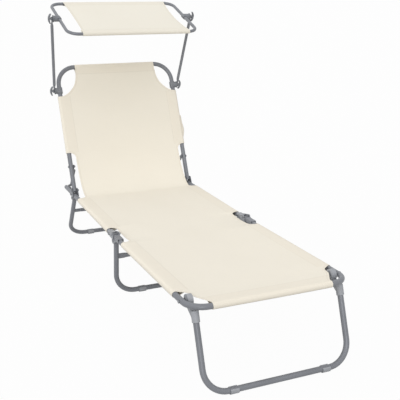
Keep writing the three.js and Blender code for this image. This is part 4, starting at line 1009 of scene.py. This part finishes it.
def finishCover(spec, name, material, toRoom):
    bm, area, cut = coverSheet(spec)
    settle(bm, spec)
    for vert in bm.verts:
        vert.co = toRoom(vert.co)
    faceOut(bm)
    if sum(face.normal.z * face.calc_area() for face in bm.faces) < 0:
        bmesh.ops.reverse_faces(bm, faces=bm.faces)
    return finishCloth(bm, name, spec.get("body"), material, spec["replaced"], cover["smooth"], area)


splitAt = 0.300  # both covers lie flat on the seat here and meet without a step
free = cover["free"]
stretch = {
    "height": cover["height"], "sleeveX": railX, "barEase": 0.09, "sag": 0.004, "waves": 0.0016, "seed": 8.4,
}
footCover = {
    **stretch, "sleeves": [(-0.584, -0.095), (0.079, splitAt)], "bars": [-footLength], "endSeam": 0.045,
    "free": [(-0.7034, -0.5841), (-0.0949, 0.0789)], "replaced": ["foot_cloth"],
    "drops": [(-0.095, 0.079, 0.0062)], "rests": ["footTube", "seatRail_left"],
    "tugs": [(0.262, -0.095, 2.6, 0.10, 0.0011, 9), (0.262, 0.079, -2.6, 0.10, 0.0011, 9),
             (0.236, -0.62, 0.5, 0.12, 0.0012, 8), (0.200, -0.70, 1.0, 0.10, 0.0009, 8)],
    "outline": [
        ("line", (0.203, -footLength), (0.203, -0.696)),
        ("curve", (0.203, -0.696), (0.218, -0.6635), (0.237, -0.6485), (0.237, -0.6185)),
        ("curve", (0.237, -0.6185), (0.237, -0.6035), (0.2625, -0.5915), (railX, -0.584)),
        ("line", (railX, -0.584), (railX, -0.095)),
        ("curve", (railX, -0.095), (0.255, -0.095), (free, -0.080), (free, -0.065)),
        ("line", (free, -0.065), (free, 0.062)),
        ("curve", (free, 0.062), (free, 0.073), (0.254, 0.079), (railX, 0.079)),
        ("line", (railX, 0.079), (railX, splitAt)),
    ],
}


def footToRoom(spot):
    if spot.y < 0:
        return footPlace @ Vector((spot.x, spot.y, footAxis + spot.z))
    return seatPlace @ spot


footPiece = finishCover(footCover, "footCover", clothOfSeat, footToRoom)
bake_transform(footPiece)

# the cloth is pulled taut from the seat's sleeves up to the backrest's
hip = {
    "start": 0.506, "backFrom": 0.155, "seatPull": 0.64, "backPull": 0.5, "samples": 60,
    "blend": (-0.1, 0.85),
}


def hipCurve():
    # in the seat's layout: a curve from the end of the seat to the start of the backrest, with its run
    toSeat = seatPlace.inverted() @ backPlace
    last = toSeat @ Vector((0, hip["backFrom"], cover["height"]))
    slope = toSeat.to_3x3() @ Vector((0, 1, 0))
    corner = last - slope * ((last.z - cover["height"]) / slope.z)
    first = Vector((0, hip["start"], cover["height"]))
    reach = [first, first.lerp(corner, hip["seatPull"]), last.lerp(corner, hip["backPull"]), last]
    spots, run = [], [0.0]
    for step in range(hip["samples"] + 1):
        weights = bezierWeights(step / hip["samples"])
        spots.append(sum((point * weight for point, weight in zip(reach, weights)), Vector()))
        if step:
            run.append(run[-1] + (spots[-1] - spots[-2]).length)
    return spots, run


hipSpots, hipRun = hipCurve()
hipEnd = hip["start"] + hipRun[-1]
backShift = hipEnd - hip["backFrom"]  # the flat layout runs on from the seat round the bend


def onHip(along, lift):
    run = along - hip["start"]
    index = next((number for number in range(1, len(hipRun) - 1) if hipRun[number] >= run), len(hipRun) - 1)
    share = (run - hipRun[index - 1]) / (hipRun[index] - hipRun[index - 1])
    slopes = [(hipSpots[min(number + 1, len(hipSpots) - 1)] - hipSpots[max(number - 1, 0)]).normalized()
              for number in (index - 1, index)]
    slope = slopes[0].lerp(slopes[1], share).normalized()
    return hipSpots[index - 1].lerp(hipSpots[index], share) + lift * Vector((0, -slope.z, slope.y))


def onBack(along):
    return along + backShift


def backCurve(*spots):
    return ("curve", *[(half, onBack(along)) for half, along in spots])


backCover = {
    **stretch, "sleeves": [(splitAt, 0.5005), (onBack(0.166), onBack(0.421))], "bars": [onBack(backLength)],
    "endSeam": 0.035, "free": [(0.5006, onBack(0.1659)), (onBack(0.4211), onBack(0.5539))],
    "replaced": ["seat_cloth", "backrest_cloth"], "rests": ["backrestTube", "seatRail_left"],
    "tugs": [(0.262, 0.5005, 2.6, 0.10, 0.001, 9), (0.262, onBack(0.166), -2.6, 0.11, 0.0011, 9),
             (0.255, onBack(0.425), 2.5, 0.12, 0.0012, 8), (0.187, onBack(0.53), 2.2, 0.11, 0.001, 8)],
    "outline": [
        ("line", (railX, splitAt), (railX, 0.5005)),
        ("curve", (railX, 0.5005), (0.255, 0.5005), (free, 0.508), (free, 0.519)),
        ("line", (free, 0.519), (free, onBack(0.145))),
        backCurve((free, 0.145), (free, 0.155), (0.258, 0.166), (backX, 0.166)),
        ("line", (backX, onBack(0.166)), (backX, onBack(0.421))),
        backCurve((backX, 0.421), (0.2483, 0.421), (0.222, 0.439), (0.202, 0.469)),
        backCurve((0.202, 0.469), (0.192, 0.489), (0.1868, 0.509), (0.1868, backLength)),
    ],
}


def backToRoom(spot):
    if spot.y <= hip["start"]:
        return seatPlace @ spot
    if spot.y <= hipEnd:
        return seatPlace @ (onHip(spot.y, spot.z - cover["height"]) + Vector((spot.x, 0, 0)))
    return backPlace @ Vector((spot.x, spot.y - backShift, spot.z))


backPiece = finishCover(backCover, "backCover", clothOfSeat, backToRoom)
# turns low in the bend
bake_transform(backPiece)

shadeCover = {
    "height": 0.0073, "sleeves": [], "bars": [-depth, depth], "endSeam": 0.028, "barEase": 0.13,
    "sag": 0.0055, "waves": 0.0014, "seed": 5.7, "droop": 0.003, "free": [(-0.1645, 0.1645)],
    "replaced": ["canopy_cloth"], "rests": ["shadeLoop"], "body": "canopy", "toRight": 0.009,
    "tugs": [(0.233, -depth, 0.9, 0.10, 0.0012, 8), (0.233, depth, -0.9, 0.10, 0.0012, 8)],
    "outline": [("curve", (0.2335, -depth), (0.222, -depth / 2), (0.222, depth / 2), (0.2335, depth))],
}
slid = shadePlace @ Matrix.Translation((shadeCover["toRight"], 0, 0))  # off the middle of its loop
finishCover(shadeCover, "shadeCover", clothOfShade, lambda spot: slid @ spot)
print("covers made")

# pouch hanging on the right edge of the backrest, its mouth toward the head end
pouch = {
    "from": 0.198, "length": 0.102, "front": 0.006, "back": -0.044, "x": 0.2801, "bulge": 0.0125,
    "mouth": 0.006, "lowest": 0.35, "spread": 0.62, "lift": 0.0008, "crumple": 0.0006, "pinch": 0.05,
    "corner": 0.12, "cells": 28, "seamSide": 0.002, "seamMouth": -0.004, "seams": (0.03, 0.015), "smooth": 50,
}


def makePouch():
    bm = bmesh.new()
    flat, sideGap, endGap, edgeGap, edgeRun = clothLayers(bm)
    bmesh.ops.create_grid(bm, x_segments=pouch["cells"], y_segments=pouch["cells"], size=1)
    wide, tall = pouch["front"] - pouch["back"], pouch["length"]
    for vert in bm.verts:
        s, t = vert.co.x, vert.co.y  # s across the pouch, t from its bottom to its mouth
        edge, below = (1 - s ** 4) ** 0.6, max(0.0, -t)
        belly = exp(-((t + pouch["lowest"]) / pouch["spread"]) ** 2)
        full = pouch["mouth"] + (pouch["bulge"] - pouch["mouth"]) * belly
        out = full * edge * (1 - below ** 3.2) ** 0.7
        out += pouch["crumple"] * noise.noise(Vector((s * 2.2, t * 2.6, 4.0)))
        pinch = 1 - pouch["pinch"] * edge * below ** 4
        corner = 1 - pouch["corner"] * max(0.0, -t - 0.55) ** 1.5 * abs(s) ** 3
        across = (pouch["front"] + pouch["back"]) / 2 + s * wide / 2 * pinch * corner
        along = pouch["from"] + (t + 1) / 2 * tall
        vert.co = (pouch["x"] + pouch["lift"] + max(0.0, out), along, across)
        vert[flat] = Vector((across, along, 0))
        vert[sideGap] = vert[endGap] = -1.0
        vert[edgeGap] = min((1 - abs(s)) * wide / 2 + pouch["seamSide"],
                            (1 - t) * tall / 2 + pouch["seamMouth"], (1 + t) * tall / 2 + pouch["seamSide"])
        vert[edgeRun] = along + across
    # back panel against the sleeve, open at the mouth
    backVerts, loop = nextRow(bm, [edge for edge in bm.edges if edge.is_boundary and not all(
        abs(vert.co.y - pouch["from"] - tall) < 1e-5 for vert in edge.verts)])
    for vert in backVerts:
        vert.co.x = pouch["x"]
    ends = [vert for vert in backVerts if sum(edge in loop for edge in vert.link_edges) == 1]
    bmesh.ops.triangle_fill(bm, edges=loop + [bm.edges.new(ends)], use_beauty=True)
    layUv(bm, flat)
    bmesh.ops.transform(bm, matrix=backPlace, verts=bm.verts)
    faceOut(bm)
    finishCloth(bm, "sidePouch", "backrest", clothOfSeat, ["side_pocket"], pouch["smooth"],
                sum(face.calc_area() for face in bm.faces))


makePouch()
print("pouch made")

# studio: pale floor, a sky brighter toward the upper left, one soft sun low in front
studio = {
    "floor": 60.0, "pale": 0.5, "rough": 0.9, "specular": 0.1, "white": 0.97, "bright": 1.12, "dim": 0.42,
    "brightFrom": (-0.62, 0.0, 0.78), "dimAt": -0.55, "brightAt": 0.95,
    "sun": 0.76, "sunSpread": 30.0, "sunFrom": (-0.38, -0.88, 0.28),
}


def seenRays(tree):
    path = addNode(tree, "LightPath").outputs
    return largest(tree, path["Is Camera Ray"], path["Is Glossy Ray"], path["Is Transmission Ray"])


def makeFloor():
    bm = bmesh.new()
    bmesh.ops.create_grid(bm, x_segments=1, y_segments=1, size=studio["floor"])
    mesh = meshFrom(bm, "studioFloor")
    floor = addObject("studioFloor", mesh)
    material, tree, shader = newMaterial("paleFloor")
    feed(tree, shader, {"Base Color": [studio["pale"]] * 3 + [1], "Roughness": studio["rough"],
                        "Specular IOR Level": studio["specular"]})
    glow = addNode(tree, "Emission", {"Strength": 1.0}).outputs[0]
    seen = product(tree, seenRays(tree), studio["white"])
    blend = addNode(tree, "MixShader", (seen, shader.outputs[0], glow)).outputs[0]
    feed(tree, tree.nodes["Material Output"], {"Surface": blend})
    mesh.materials.append(material)


def makeSky():
    world = bpy.data.worlds.new("studioSky")
    bpy.context.scene.world = world
    world.use_nodes = True
    tree = world.node_tree
    aim = addNode(tree, "TexCoord").outputs["Generated"]
    toward = addNode(tree, "VectorMath", (aim, studio["brightFrom"]), operation="DOT_PRODUCT")
    limits = [studio[key] for key in ("dimAt", "brightAt", "dim", "bright")]
    lit = rampNode(tree, toward.outputs["Value"], *limits)
    seen = seenRays(tree)
    unseen = mathNode(tree, "SUBTRACT", 1.0, seen)
    strength = mathNode(tree, "MULTIPLY_ADD", lit, unseen, seen)
    feed(tree, tree.nodes["Background"], {"Color": (1, 1, 1, 1), "Strength": strength})


def makeSun():
    sun = bpy.data.lights.new("softSun", "SUN")
    sun.energy, sun.angle = studio["sun"], radians(studio["sunSpread"])
    lamp = addObject("softSun", sun)
    lamp.rotation_euler = Vector(studio["sunFrom"]).to_track_quat("Z", "Y").to_euler()


makeFloor()
makeSky()
makeSun()
bpy.context.scene.view_settings.view_transform = "Standard"
print("studio made")
